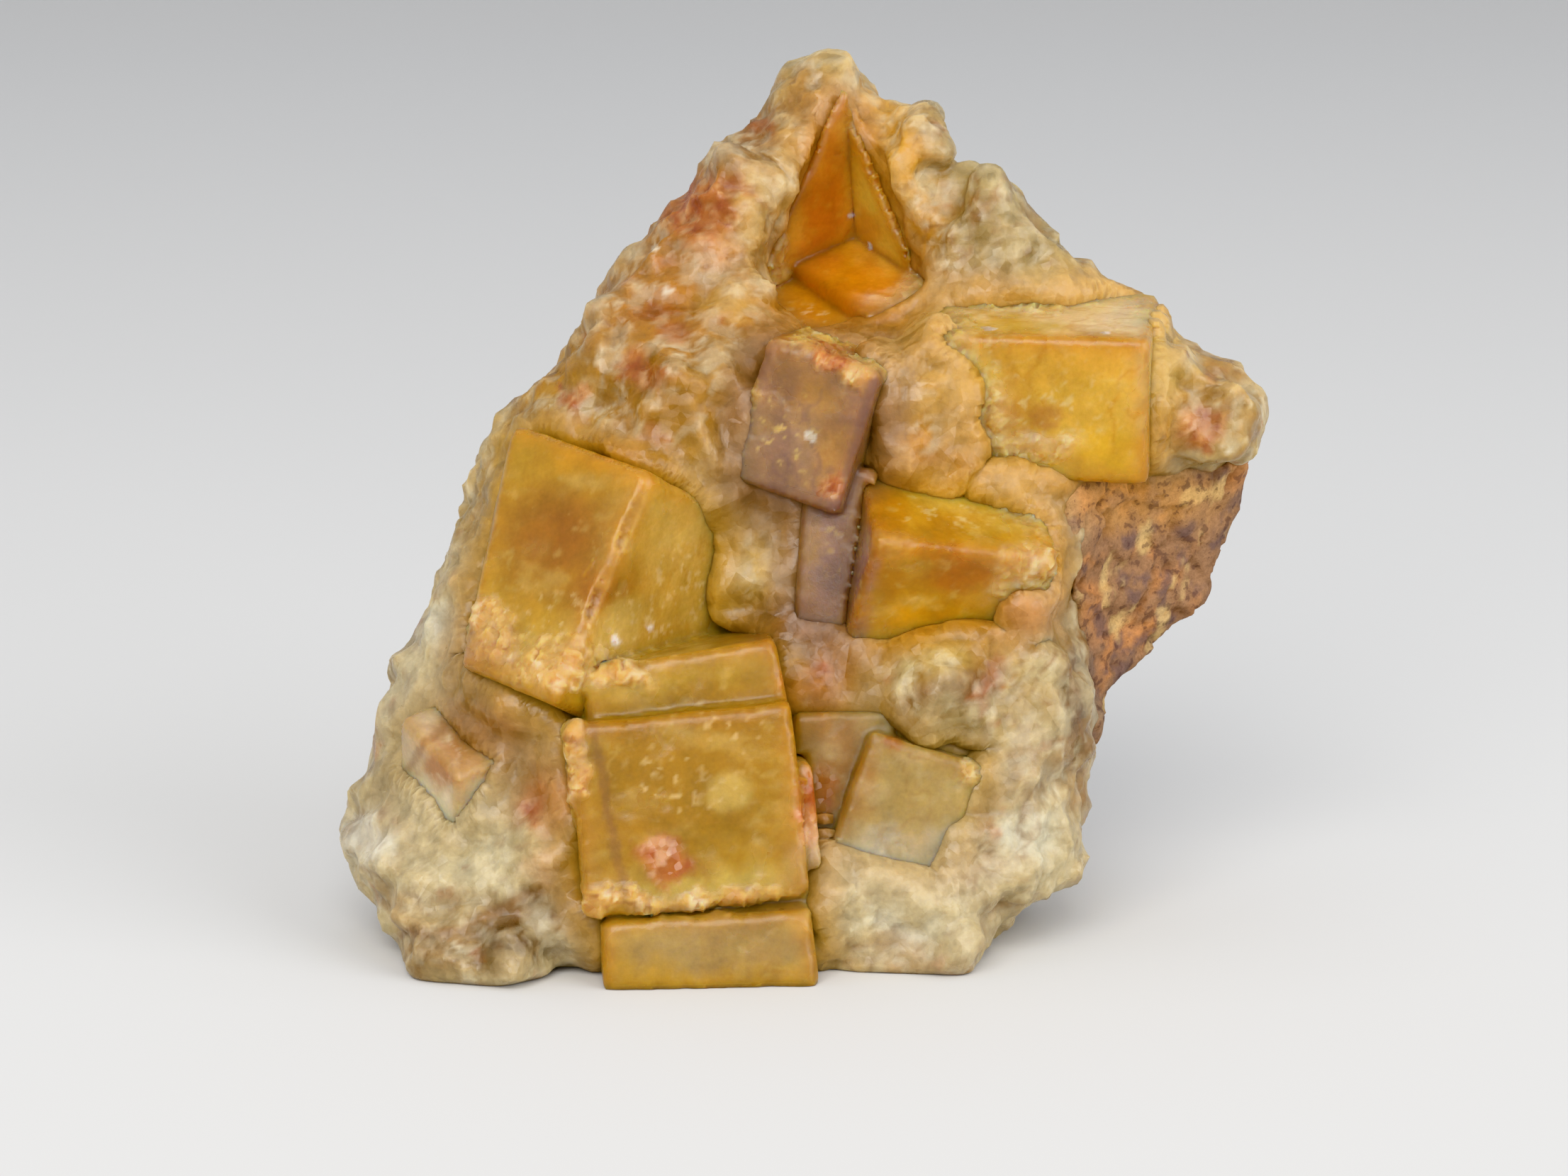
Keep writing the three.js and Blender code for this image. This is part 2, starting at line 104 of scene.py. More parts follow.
def fade(value, low, high):
    """0 below low, 1 above high, and an S-shaped blend between."""
    share = np.clip((value - low) / (high - low), 0, 1)
    return share * share * (3 - 2 * share)


def blended(home, share, value_at):
    """The average of the values at a cell's eight corners, each weighed by the shares along
    x, y and z that the point has come towards it."""
    total = np.zeros(len(home))
    for corner in np.ndindex(2, 2, 2):
        weight = np.prod(np.where(corner, share, 1 - share), axis=1)
        total += weight * value_at(home + corner)
    return total


def smooth_noise(points, size, seed):
    """Values from -1 to 1 that change over about size: the corner values of each cell,
    blended with an S-shaped weight along x, y and z."""
    place = points / size
    home = np.floor(place).astype(np.int64)
    return 2 * blended(home, fade(place - home, 0, 1), lambda cell: cell_value(cell, seed)) - 1


def rough_noise(points, size, seed, octaves=4):
    """Smooth noise added to itself at half the size and half the height, octave by octave."""
    total = np.zeros(len(points))
    for octave in range(octaves):
        total += smooth_noise(points, size / 2**octave, seed + octave) / 2**octave
    return total / 2


print("noise at three places:", rough_noise(np.eye(3), 0.7, 1).round(2))


# %% Cells with flat faces
def three_values(cell, seed):
    """Three numbers from 0 to 1 for each cell."""
    return np.stack([cell_value(cell, seed + axis) for axis in range(3)], 1)


def nearest_cell(points, size, seed):
    """Irregular cells about size across, each round a scattered middle: the cell that a
    point is in, and the way from the cell's middle to the point, in sizes."""
    place = points / size
    home = np.floor(place).astype(np.int64)
    nearest = np.full(len(points), np.inf)
    chosen = home.copy()
    offset = np.zeros((len(points), 3))
    for step in np.ndindex(3, 3, 3):
        cell = home + np.array(step) - 1
        away = place - cell - three_values(cell, seed)
        gap = (away**2).sum(1)
        closer = gap < nearest
        nearest = np.where(closer, gap, nearest)
        chosen = np.where(closer[:, None], cell, chosen)
        offset = np.where(closer[:, None], away, offset)
    return chosen, offset


def shards(points, size, seed):
    """For each point: the height of its cell's tilted flat face, from about -1 to 1, which
    is the way from the cell's middle dotted with the tilt, and a random number of the cell."""
    cell, away = nearest_cell(points, size, seed)
    tilt = three_values(cell, seed + 3) - 0.5
    return 2 * (away * tilt).sum(1), tilt[:, 0] + 0.5


def creased(points, size, seed):
    """Flat facets that meet in creases, from -1 to 1. Each cell of a slanted lattice is cut
    into six tetrahedra, and a point's value is the average of its tetrahedron's four corner
    values, each weighed by how near the point is: its shares along the axes, sorted."""
    place = (points + points.sum(1)[:, None] / 3) / size
    corner = np.floor(place).astype(np.int64)
    share = place - corner
    order = np.argsort(-share, axis=1)
    share = np.column_stack([np.take_along_axis(share, order, 1), np.zeros(len(points))])
    total = (1 - share[:, 0]) * cell_value(corner, seed)
    for k in range(3):
        corner[np.arange(len(points)), order[:, k]] += 1
        total += (share[:, k] - share[:, k + 1]) * cell_value(corner, seed)
    return 2 * total - 1


sample = shards(np.random.default_rng(1).uniform(0, 1, (1000, 3)), 0.1, 5)[0]
print("shard heights run from", sample.min().round(2), "to", sample.max().round(2))


# %% [markdown]
# A cube's face grows in nested square plates. Marks on the specimen are round spots whose
# borders stray, so a spot and its straying are two functions that are used together.

# %% Plates and spots
def steps(along, across, size, levels, seed):
    """Nested rectangular plates, from 0 to 1: the larger of the two distances from the
    nearest scattered middle, cut into whole levels, as a cube's face grows."""
    place = np.stack([along, across, np.zeros(len(along))], 1) / size
    home = np.floor(place).astype(np.int64)
    nearest = np.full(len(along), np.inf)
    for step in np.ndindex(3, 3):
        cell = home + np.array([step[0] - 1, step[1] - 1, 0])
        jitter = np.stack([cell_value(cell, seed), cell_value(cell, seed + 1)], 1)
        away = np.abs(place[:, :2] - cell[:, :2] - jitter).max(1)
        nearest = np.minimum(nearest, away)
    return np.floor(np.clip(nearest, 0, 0.999) * levels) / levels


def wander(points, seed):
    """How far a mark's border strays at each point, in millimetres."""
    coarse = rough_noise(points, 2.6 * MM, seed)
    return 1.6 * coarse + 0.7 * rough_noise(points, 0.7 * MM, seed + 7)


def spots(right, up, places, soft):
    """How strongly spots cover each point. A spot is x, z, a radius along x and one along
    z: the distance to it, in radii, fades out around 1."""
    covered = np.zeros(len(right))
    for x, z, wide, high in places:
        radii = np.hypot((right - x) / wide, (up - z) / high)
        covered = np.maximum(covered, 1 - fade(radii, 1 - soft, 1 + soft))
    return covered


print("a spot covers its own middle by", spots(np.zeros(1), np.zeros(1), [(0, 0, 1, 1)], 0.5)[0])


# %% [markdown]
# ## From a faceted solid to a fine skin
# A solid's flat faces are too coarse to hold pits and growth steps. A voxel remesh of a
# merged copy wraps it in small even squares, and joins crystals that grew into each other.
# It also rounds each edge by about a voxel, as handling and weather do on a real crystal.
# It blurs the flat faces a little, so on a crystal each point near one is put back on it.

# %% Skins and their arrays
SLIVER = 0.1  # in square millimetres: a smaller triangle says little about its plane


def read(elements, label, width, kind=float):
    """One property of all the elements of a mesh, with a row for each."""
    flat = np.zeros(len(elements) * width, kind)
    elements.foreach_get(label, flat)
    return flat.reshape(-1, width)


def points_of(piece):
    return read(piece.data.vertices, "co", 3)


def normals_of(piece):
    return read(piece.data.vertex_normals, "vector", 3)


def neighbours_of(piece):
    return read(piece.data.edges, "vertices", 2, np.int32)


def welded(node):
    """A solid's corners and triangles, with the loose triangles joined at their corners and
    without those that have no area left."""
    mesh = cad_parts[node].data
    merged, places = np.unique(np.round(read(mesh.vertices, "co", 3), 7), axis=0, return_inverse=True)
    triangles = places.ravel()[read(mesh.polygons, "vertices", 3, np.int32)]
    collapsed = (triangles == np.roll(triangles, 1, axis=1)).any(1)
    return merged, triangles[~collapsed]


def wrap(piece, voxel):
    """Swaps a piece's mesh for one that wraps it in even squares of the voxel's size."""
    coarse = piece.data
    remesh = piece.modifiers.new("wrap", "REMESH")
    remesh.mode = "VOXEL"
    remesh.voxel_size = voxel
    remesh.adaptivity = 0
    bpy.context.view_layer.update()
    evaluated = piece.evaluated_get(bpy.context.evaluated_depsgraph_get())
    even = bpy.data.meshes.new_from_object(evaluated)
    piece.modifiers.clear()
    piece.data = even
    bpy.data.meshes.remove(coarse)
    even.name = piece.name


def skin(name, node, voxel):
    """The solid wrapped in squares of the voxel's size, as a new object, with the planes and
    the areas of the solid's own faces. A plane is its normal and its distance from the
    origin in millimetres."""
    corners, triangles = welded(node)
    mesh = bpy.data.meshes.new(name)
    mesh.from_pydata(corners, [], triangles)
    piece = bpy.data.objects.new(name, mesh)
    bpy.context.scene.collection.objects.link(piece)
    wrap(piece, voxel)
    sides = corners[triangles]
    normals = np.cross(sides[:, 1] - sides[:, 0], sides[:, 2] - sides[:, 0])
    areas = np.linalg.norm(normals, axis=1) / 2 / MM**2
    kept = areas > SLIVER
    normals = normals[kept] / (2 * MM**2 * areas[kept, None])
    offsets = (sides[kept, 0] * normals).sum(1) / MM
    exact = np.column_stack([normals, offsets])
    _, first, owner = np.unique(np.round(exact, 2), axis=0, return_index=True, return_inverse=True)
    planes = exact[first]
    plane_areas = np.bincount(owner.ravel(), areas[kept])
    print(f"{name}: {len(piece.data.vertices)} points, {len(planes)} flat faces")
    return piece, planes, plane_areas


def pressed(piece, points):
    """Puts the points into the mesh and gives the normals that they now have."""
    piece.data.vertices.foreach_set("co", points.ravel())
    piece.data.update()
    return normals_of(piece)


def finish_skin(piece, points):
    """Puts the last points into the mesh. None goes below the surface that it stands on."""
    points[:, 2] = np.maximum(points[:, 2], 0)
    pressed(piece, points)


def neighbour_sum(column, pairs):
    """For each point, its neighbours' values added up."""
    one, other = pairs.T
    return np.bincount(one, column[other], len(column)) + np.bincount(other, column[one], len(column))


def spread(values, pairs, rounds):
    """Averages each point's value with its neighbours', again and again. With positions as
    the values it rounds the shape, with a mask it widens and softens it."""
    count = np.bincount(pairs.ravel(), minlength=len(values)).astype(float)
    columns = values.reshape(len(values), -1).astype(float)
    for _ in range(rounds):
        for k in range(columns.shape[1]):
            columns[:, k] = 0.5 * columns[:, k] + 0.5 * neighbour_sum(columns[:, k], pairs) / count
    return columns.reshape(values.shape)


print("helpers for the skins are ready")


# %% [markdown]
# ## Crystal faces
# A fluorite cube's face is flat to the eye but never perfect: it carries low growth
# plates, scattered pits where it was etched, and its edges are worn and frosted. Each point
# is first pressed towards the main flat face that it belongs to, so that the solid's thick
# growth steps become faint ones. Points on no flat face lie on an edge or on the wall of
# such a step, and follow their neighbours. That stretches some squares, so the skin is
# wrapped and pressed once more. Where the crystal meets the stone that it grew on, a crust
# of small grains climbs over its edges.

# %% Which flat face a point lies on
STEP_HEIGHT = 0.8  # highest growth step in millimetres: a higher one is a face of its own
STEP_KEPT = 0.08  # the share of a growth step's height that stays
SMALLEST_FACE = 9  # in square millimetres: smaller flats are parts of edges and walls
MAIN_SHARE = 0.5  # a main face has at least this share of the largest parallel one's area
FACING = 0.93  # the cosine of the widest angle between a point's direction and its face's
PARALLEL = 0.99  # and of the widest angle between two parallel faces
LONGEST_PRESS = 0.9  # how far a point on a step's wall may lie off its face, in millimetres
FILL_ROUNDS = 14  # how many points deep the edges and walls are filled from their rims


def flat_faces(points, normals, planes, areas, reach):
    """For each point, the flat face that it lies on, which is the nearest plane that faces
    the point's way, and how far out the face should lie: on the innermost of the large
    parallel faces that are at most a step away, plus the share kept. Also whether the
    point lies on no face at all."""
    best = np.full(len(points), np.inf)
    target = np.zeros(len(points))
    chosen = np.zeros(len(points), int)
    for number, plane in enumerate(planes):
        if areas[number] < SMALLEST_FACE:
            continue
        distance = points @ plane[:3] / MM - plane[3]
        a_step_away = np.abs(planes[:, 3] - plane[3]) < STEP_HEIGHT
        parallel = (planes[:, :3] @ plane[:3] > PARALLEL) & a_step_away
        main = planes[parallel & (areas >= MAIN_SHARE * areas[parallel].max()), 3].min()
        closer = (normals @ plane[:3] > FACING) & (np.abs(distance) < best)
        best = np.where(closer, np.abs(distance), best)
        target = np.where(closer, main + STEP_KEPT * (plane[3] - main), target)
        chosen = np.where(closer, number, chosen)
    return chosen, target, best * MM > reach


def settled(points, normals, faces, targets, on_edge, pairs):
    """The points pressed onto their faces, and the direction that each one faces. A point
    on the wall of a growth step has the same face all round it, so it is pressed onto that
    face too. A point on a real edge takes the average move of its neighbours."""
    around = filled(faces, on_edge, pairs)
    level = filled(targets[:, None], on_edge, pairs)[:, 0]
    directions = unit(around, normals)
    gap = level - (points * directions).sum(1) / MM
    on_wall = (np.linalg.norm(around, axis=1) > PARALLEL) & (np.abs(gap) < LONGEST_PRESS)
    on_face = ~on_edge | on_wall
    moves = np.where(on_face, gap, 0)[:, None] * directions * MM
    return points + filled(moves, ~on_face, pairs), directions


def filled(values, unknown, pairs):
    """Known values stay. An unknown one becomes the average of its known neighbours, from
    the border of the unknown area inwards, and deep inside a large area it is 0."""
    known = np.where(unknown, 0.0, 1.0)
    total = values * known[:, None]
    for _ in range(FILL_ROUNDS):
        weight = neighbour_sum(known, pairs)
        near = np.stack([neighbour_sum(column, pairs) for column in total.T], 1)
        reached = unknown & (weight > 0)
        total[reached] = near[reached] / weight[reached, None]
        known[reached] = 1.0
    return total


def unit(vectors, otherwise):
    """The vectors at length 1, or another direction where one is shorter than 0.05."""
    lengths = np.linalg.norm(vectors, axis=1)[:, None]
    return np.where(lengths > 0.05, vectors / np.maximum(lengths, 0.05), otherwise)


print("faces of at least", SMALLEST_FACE, "square millimetres are kept flat")


# %% [markdown]
# A cube's edges are found from the directions: around a point on an edge the average of
# many unit directions is shorter than 1. Each edge is rounded a little and chipped, and
# plates, pits and grains are added as heights along the directions.

# %% A crystal's skin
GROWTH = 0.25 * MM  # how far the skins stand past their solids, to close the seams
SHARP = 0.22  # how much shorter than 1 the average has to be to count as a full edge
PLATE = 0.05  # heights in millimetres: a growth plate, a pit, a chip and a broad wave
PIT = 0.12
CHIP = 0.12
WAVE = 0.1
CRUSTS = [  # x and z on the face, and the radii along them, in millimetres
    (13.2, 12.6, 3.6, 3), (18.6, 10.4, 3.6, 1.2), (12.4, 18, 2, 2.6), (18, 22, 9, 1),
    (18.8, 0.6, 2.4, 3), (18.6, 6.4, 1.8, 2), (12.4, 9.6, 5, 0.9), (-16.4, -5.8, 4, 1.9),
    (-13, -6.6, 3, 0.9), (-21.8, -3.4, 1.6, 2.2), (-1, 3, 1, 2.2), (6.2, 17.2, 1.6, 1.6),
    (-8, -23.6, 8.5, 1), (-15.8, -14, 0.8, 4), (-3.6, 16.2, 1.6, 2.6), (3.4, 18, 3, 1),
    (-19.4, -17.6, 2, 2.4), (8.8, -21.8, 5, 1.3), (14.6, -13.8, 1.2, 1.4), (-1.6, 25, 1.8, 3),
    (-5, 19.6, 2.4, 1.6),
]


def bend(directions, pairs, rounds):
    """From 0 on a flat to 1 on a cube's edge: how much shorter than 1 the average of the
    unit directions around a point is."""
    average = np.linalg.norm(spread(directions, pairs, rounds), axis=1)
    return np.clip((1 - average) / SHARP, 0, 1)


def plane_axes(directions):
    """Two directions along each plane: the one that stays nearly level, which is square to
    a steep direction that no face looks along, and the one across it."""
    level = np.cross(directions, [0.05, 0.1, 1])
    level /= np.linalg.norm(level, axis=1)[:, None]
    return level, np.cross(directions, level)


def crystal_skin(name, node, voxel, seed, rounding):
    """A crystal group's skin and its fields: values from 0 to 1 for every point, which the
    paint uses. The edges are averaged with their neighbours rounding times."""
    piece, planes, areas = skin(name, node, voxel)
    for once_more in (True, False):
        points = points_of(piece)
        normals = normals_of(piece)
        pairs = neighbours_of(piece)
        chosen, targets, on_edge = flat_faces(points, normals, planes, areas, reach=0.6 * voxel)
        points, directions = settled(points, normals, planes[chosen, :3], targets, on_edge, pairs)
        pressed(piece, points)
        if once_more:
            wrap(piece, voxel)
    edges = bend(directions, pairs, rounds=6)
    border = bend(directions, pairs, rounds=26)
    rounded = spread(points, pairs, rounding)
    worn = edges * (0.75 + 0.5 * smooth_noise(points, 2.2 * MM, seed + 29))
    points += np.clip(worn, 0, 1)[:, None] * (rounded - points)
    directions = unit(spread(directions, pairs, 3), normals)
    level, across = plane_axes(directions)
    along_level = (points * level).sum(1)
    along_across = (points * across).sum(1)
    plates = steps(along_level, along_across, 6.5 * MM, 5, seed)
    fine_plates = steps(along_across, along_level, 2.4 * MM, 3, seed + 7)
    grain = rough_noise(points, 1.1 * MM, seed + 11)
    etched = fade(rough_noise(points, 3.4 * MM, seed + 17), 0.12, 0.4)
    pits = etched * fade(grain, 0.05, 0.45)
    height = PLATE * (plates - 0.5) + 0.35 * PLATE * fine_plates - PIT * pits
    height -= CHIP * edges**2 * fade(grain + 0.4 * smooth_noise(points, 3 * MM, seed + 31), 0.1, 0.7)
    height += WAVE * smooth_noise(points, 4 * MM, seed + 23)
    right, up, _ = as_seen(points)
    right += wander(points, 40)
    up += wander(points, 60)
    crust = spots(right, up, CRUSTS, 0.4) * fade(-(normals @ FACE_AWAY), -0.3, 0.1)
    grains, _ = shards(points, 0.9 * MM, seed + 37)
    height += crust * (0.22 + 0.3 * grains + 0.35 * rough_noise(points, 1.6 * MM, seed + 41))
    points += directions * (GROWTH + height * MM)[:, None]
    finish_skin(piece, points)
    etched = np.maximum(pits, 0.4 * etched)
    return piece, {"edges": edges, "border": border, "etched": etched, "plates": plates, "crust": crust}


crystals = {}
for crystal_name, crystal_node, crystal_voxel, crystal_seed, rounding in [
    ("honey-crystals", "left_crystals", 0.27 * MM, 100, 9),
    ("summit-crystals", "summit_crystals", 0.24 * MM, 200, 8),
    ("orange-crystals", "right_crystals", 0.24 * MM, 300, 5),
    ("frosted-crystals", "corner_crystals", 0.22 * MM, 400, 5),
    ("violet-crystals", "violet_crystals", 0.22 * MM, 500, 8),
    ("milky-crystal", "foot_crystal", 0.22 * MM, 600, 10),
]:
    crystals[crystal_name] = crystal_skin(crystal_name, crystal_node, crystal_voxel, crystal_seed, rounding)
    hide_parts(crystal_node)


# %% [markdown]
# ## Broken stone
# The pale matrix is massive fluorite: it broke along short cleavage faces, so its surface
# is a mosaic of small tilted flats over broad lumps, and it fills the narrow places
# between the crystals. Its skin is rounded where it lies free, so that the solid's own
# facets turn into lumps, rises in narrow places, and is then broken up again by creased
# flats on three smaller scales. The host rock is a fine-grained, iron-stained rock, which
# gets lumps, knobs and pits instead.

# %% Space in small cells
AIR_CELL = 0.7 * MM
crystal_points = np.concatenate([points_of(piece) for piece, _ in crystals.values()])


class Cells:
    """The space around the specimen as a block of small cells."""

    def __init__(self, groups, cell):
        everything = np.concatenate(groups)
        margin = 4 * cell
        self.cell = cell
        self.low = everything.min(0) - margin
        self.shape = tuple(np.ceil((everything.max(0) + margin - self.low) / cell).astype(int))

    def home(self, points):
        """The number of the cell that each point is in."""
        return np.ravel_multi_index(np.floor((points - self.low) / self.cell).astype(int).T, self.shape)

    def gather(self, points, values=None):
        """How many points are in each cell, or the sum of their values."""
        counted = np.bincount(self.home(points), values, int(np.prod(self.shape)))
        return counted.reshape(self.shape).astype(float)

    def blurred(self, grid, rounds):
        """Each cell shared evenly with the cells before and after it, along each axis."""
        for _ in range(rounds):
            for axis in range(3):
                grid = (grid + np.roll(grid, 1, axis) + np.roll(grid, -1, axis)) / 3
        return grid

    def sample(self, grid, points):
        """The grid's value at each point, blended between the eight nearest cell middles."""
        place = (points - self.low) / self.cell - 0.5
        home = np.floor(place).astype(int)
        return blended(home, place - home, lambda cell: grid[tuple(cell.T)])

    def outside(self, wall):
        """The cells that can be reached from the block's rim without crossing a wall."""
        reached = np.zeros(self.shape, bool)
        reached[0] = True
        count = 0
        while reached.sum() > count:
            count = reached.sum()
            for axis in range(3):
                reached |= (np.roll(reached, 1, axis) | np.roll(reached, -1, axis)) & ~wall
        return reached


def air_round(points):
    """The cells round the crystals and these matrix points, and which of them are air."""
    skins = np.concatenate([crystal_points, points])
    cells = Cells([skins], AIR_CELL)
    outside = cells.outside(cells.gather(skins) > 0)
    print("cells inside the specimen:", int((~outside).sum()), "of", outside.size)
    return cells, outside


def openness(cells, outside, points, normals):
    """From 0 to 1, how much of the space two cells in front of each point is air."""
    air = cells.sample(cells.blurred(outside * 1.0, 1), points + 2 * AIR_CELL * normals)
    return fade(air, 0.35, 0.75)


print(len(crystal_points), "crystal points for the stone to grow round")


# %% [markdown]
# Where the air has little room, the stone rises towards it. That is measured in the cells:
# the air is what can be reached from outside without crossing a skin. Some crystals lie
# bare on the real specimen, and the stone rises less round them.

# %% Where the stone rises
RISE_STEP = 0.2 * MM
HOLLOW = [(5, 29, 9.5, 10.5)]  # x and z on the face, and the radii along them, in millimetres
BARE_CRYSTALS = [(-24, -15, 5.5, 6), (13, 5, 7, 8), (10.6, -15.6, 6, 6), (0, 12, 5, 6)]


def cemented(points, normals, deepest):
    """How far each matrix point rises, in metres. The whole specimen is blurred as a solid:
    in a narrow hollow the blurred solid is still more than half full some way above the
    ground, and the point rises, step by step, to where it is half full."""
    cells, outside = air_round(points)
    full = cells.blurred(1.0 - outside, 12)
    rise = np.zeros(len(points))
    for _ in range(round(deepest / RISE_STEP)):
        rise += RISE_STEP * fade(cells.sample(full, points + rise[:, None] * normals), 0.5, 0.56)
    return rise * openness(cells, outside, points, normals)


def beside_crystals(points):
    """From 1 at a crystal's skin to 0 about 1.5 mm away from it: the cells with crystal in
    them, blurred."""
    cells = Cells([crystal_points, points], 0.5 * MM)
    crystal = cells.blurred((cells.gather(crystal_points) > 0) * 1.0, 3)
    return fade(cells.sample(crystal, points), 0.03, 0.25)


def in_hollow(points):
    """From 1 in the cubic hollow below the peak to 0 just outside it."""
    right, up, _ = as_seen(points)
    return spots(right, up, HOLLOW, 0.16)


def bare(points):
    """From 1 where crystals lie bare, with little stone round them, to 0 elsewhere."""
    right, up, _ = as_seen(points)
    return np.maximum(in_hollow(points), 0.8 * spots(right, up, BARE_CRYSTALS, 0.3))


def filled_up(piece, voxel, deepest):
    """Rounds the free surface of the stone and lets it rise in narrow places. Sides that
    grow into each other there are wrapped once more, so that they meet in one valley."""
    pairs = neighbours_of(piece)
    points = points_of(piece)
    free = 1 - beside_crystals(points)
    points += free[:, None] * (spread(points, pairs, 4) - points)
    normals = pressed(piece, points)
    rise = spread(cemented(points, normals, deepest) * (1 - bare(points)), pairs, 3)
    pressed(piece, points + normals * rise[:, None])
    wrap(piece, voxel)
    print("the stone rises by up to", (rise.max() / MM).round(2), "mm")


print("stone rises less round", len(BARE_CRYSTALS), "bare groups of crystals")


# %% The matrix and the host rock
SWELLING = 0.8 * MM  # how far stone that lies buried swells


def matrix_skin(name, node, voxel):
    """The matrix's skin. Stone that lies buried between crystals swells until it touches
    them, and the flats are highest where it lies free."""
    piece, _, _ = skin(name, node, voxel)
    filled_up(piece, voxel, 2 * MM)
    filled_up(piece, voxel, 0.6 * MM)
    pairs = neighbours_of(piece)
    points = points_of(piece)
    free = 1 - beside_crystals(points)
    points = spread(points, pairs, 2)
    normals = pressed(piece, points)
    is_open = spread(openness(*air_round(points), points, normals), pairs, 3)
    resting = fade(points[:, 2], 0.2 * MM, 1.2 * MM)
    loose = resting * is_open * (0.35 + 0.65 * free)
    warp = np.stack([smooth_noise(points, 4 * MM, 700 + 9 * k) for k in range(3)], 1) * MM
    coarse = creased(points + 1.2 * warp, 5.5 * MM, 730)
    middling = creased(points + 0.5 * warp, 2.3 * MM, 750)
    calm = fade(smooth_noise(points, 8 * MM, 795), -0.3, 0.4)
    small, small_number = shards(points + 0.3 * warp, 1.1 * MM, 770)
    grain = rough_noise(points, 0.9 * MM, 790)
    height = 1.0 * coarse + 0.65 * middling
    height += (0.3 + 0.7 * calm) * (0.28 * creased(points, 1.2 * MM, 780) + 0.1 * small) + 0.04 * grain
    buried = SWELLING * (1 - is_open)
    growth = GROWTH * (3 - 2 * free) * (1 - 1.15 * in_hollow(points))
    points += normals * (growth + buried + loose * height * MM)[:, None]
    points += (1 - free)[:, None] * (spread(points, pairs, 3) - points)
    finish_skin(piece, points)
    print("matrix relief, mm:", height.min().round(2), "to", height.max().round(2))
    return piece, {"flake": small_number, "relief": height}


def host_skin(name, node, voxel):
    """The wall rock's skin: rounded, then lumps and knobs added and pits taken away."""
    piece, _, _ = skin(name, node, voxel)
    points = spread(points_of(piece), neighbours_of(piece), 6)
    normals = pressed(piece, points)
    lumps, _ = shards(points, 3.2 * MM, 830)
    knobs = rough_noise(points, 2.2 * MM, 850)
    pits = fade(rough_noise(points, 1.2 * MM, 870), 0.15, 0.5)
    height = 0.4 * lumps + 0.45 * knobs - 0.4 * pits
    points += normals * (GROWTH + height * MM)[:, None]
    finish_skin(piece, points)
    return piece, {"pits": pits}


matrix, matrix_fields = matrix_skin("pale-matrix", "pale_matrix", 0.42 * MM)
host, host_fields = host_skin("host-rock", "host_rock", 0.34 * MM)
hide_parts("pale_matrix")
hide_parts("host_rock")


# %% [markdown]
# ## Colour in layers
# The specimen is stained more than it is coloured: brown clouds, violet growth zones, rust
# and pale crusts lie over honey and tan. Each piece gets one colour for every point, laid on
# in layers as a painter glazes. A mark is a round spot on the face with a border that noise
# makes ragged, and it stays off the surfaces that look backwards.

# %% A canvas for every piece
def colour(red, green, blue):
    """A colour seen on screen, 0 to 255, as the linear light that a material needs."""
    screen = np.array([red, green, blue]) / 255
    return np.where(screen <= 0.04045, screen / 12.92, ((screen + 0.055) / 1.055) ** 2.4)


class Canvas:
    """A piece's paint while it is built up: one colour for every point."""

    def __init__(self, piece, fields, base):
        self.piece = piece
        self.fields = fields
        self.points = points_of(piece)
        self.paint = np.tile(colour(*base), (len(self.points), 1))
        self.glint = np.zeros(len(self.points))
        self.frost = np.zeros(len(self.points))
        self.x, self.z, away = as_seen(self.points)
        self.wander_x = wander(self.points, 40)
        self.wander_z = wander(self.points, 60)
        # Marks fade on surfaces that look backwards, and from 6 to 11 mm behind the face.
        forward = -(normals_of(piece) @ FACE_AWAY)
        self.shown = fade(forward, -0.4, 0.1) * fade(-away, -11, -6)

    def lay(self, hue, cover, strength=1.0):
        """One layer over the paint below: a blend of the two by how much it covers."""
        share = np.clip(strength * cover, 0, 1)[:, None]
        self.paint = self.paint * (1 - share) + colour(*hue) * share

    def cover(self, places, soft=0.5, ragged=1.0):
        """How strongly spots with ragged borders cover each point of the front."""
        right = self.x + ragged * self.wander_x
        return self.shown * spots(right, self.z + ragged * self.wander_z, places, soft)

    def line_cover(self, path, width):
        """How strongly a thin line through the points of a path covers each point: the
        distance to its nearest stretch, in widths, fades out around 1."""
        nearest = np.full(len(self.points), np.inf)
        here = np.stack([self.x + 0.35 * self.wander_x, self.z + 0.35 * self.wander_z], 1)
        for start, end in zip(np.array(path[:-1]), np.array(path[1:])):
            run = end - start
            along = np.clip((here - start) @ run / (run @ run), 0, 1)
            nearest = np.minimum(nearest, np.linalg.norm(here - start - along[:, None] * run, axis=1))
        return (1 - fade(nearest / width, 0.3, 1.2)) * self.shown

    def clouds(self, hue, size, low, high, strength, seed, stretch=(1, 1, 1)):
        """A layer wherever noise of this size is above low, in full where it is above high."""
        self.lay(hue, fade(rough_noise(self.points * stretch, size, seed), low, high), strength)

    def veins(self, hue, size, thin, strength, seed, stretch=(1, 1, 1)):
        """Thin wavy lines: a layer wherever noise is within thin of zero, broken up by
        other noise."""
        lines = 1 - fade(np.abs(rough_noise(self.points * stretch, size, seed, 3)), 0.3 * thin, thin)
        self.lay(hue, lines * fade(smooth_noise(self.points, 2 * size, seed + 5), 0, 0.4), strength)


print("a mark's border strays by up to about 2 mm")


# %% [markdown]
# ## What the marks are
# All pieces share the marks, because stain and cloudiness cross from one crystal into the
# next. The broad washes come first: they give each region of the face its own body colour.

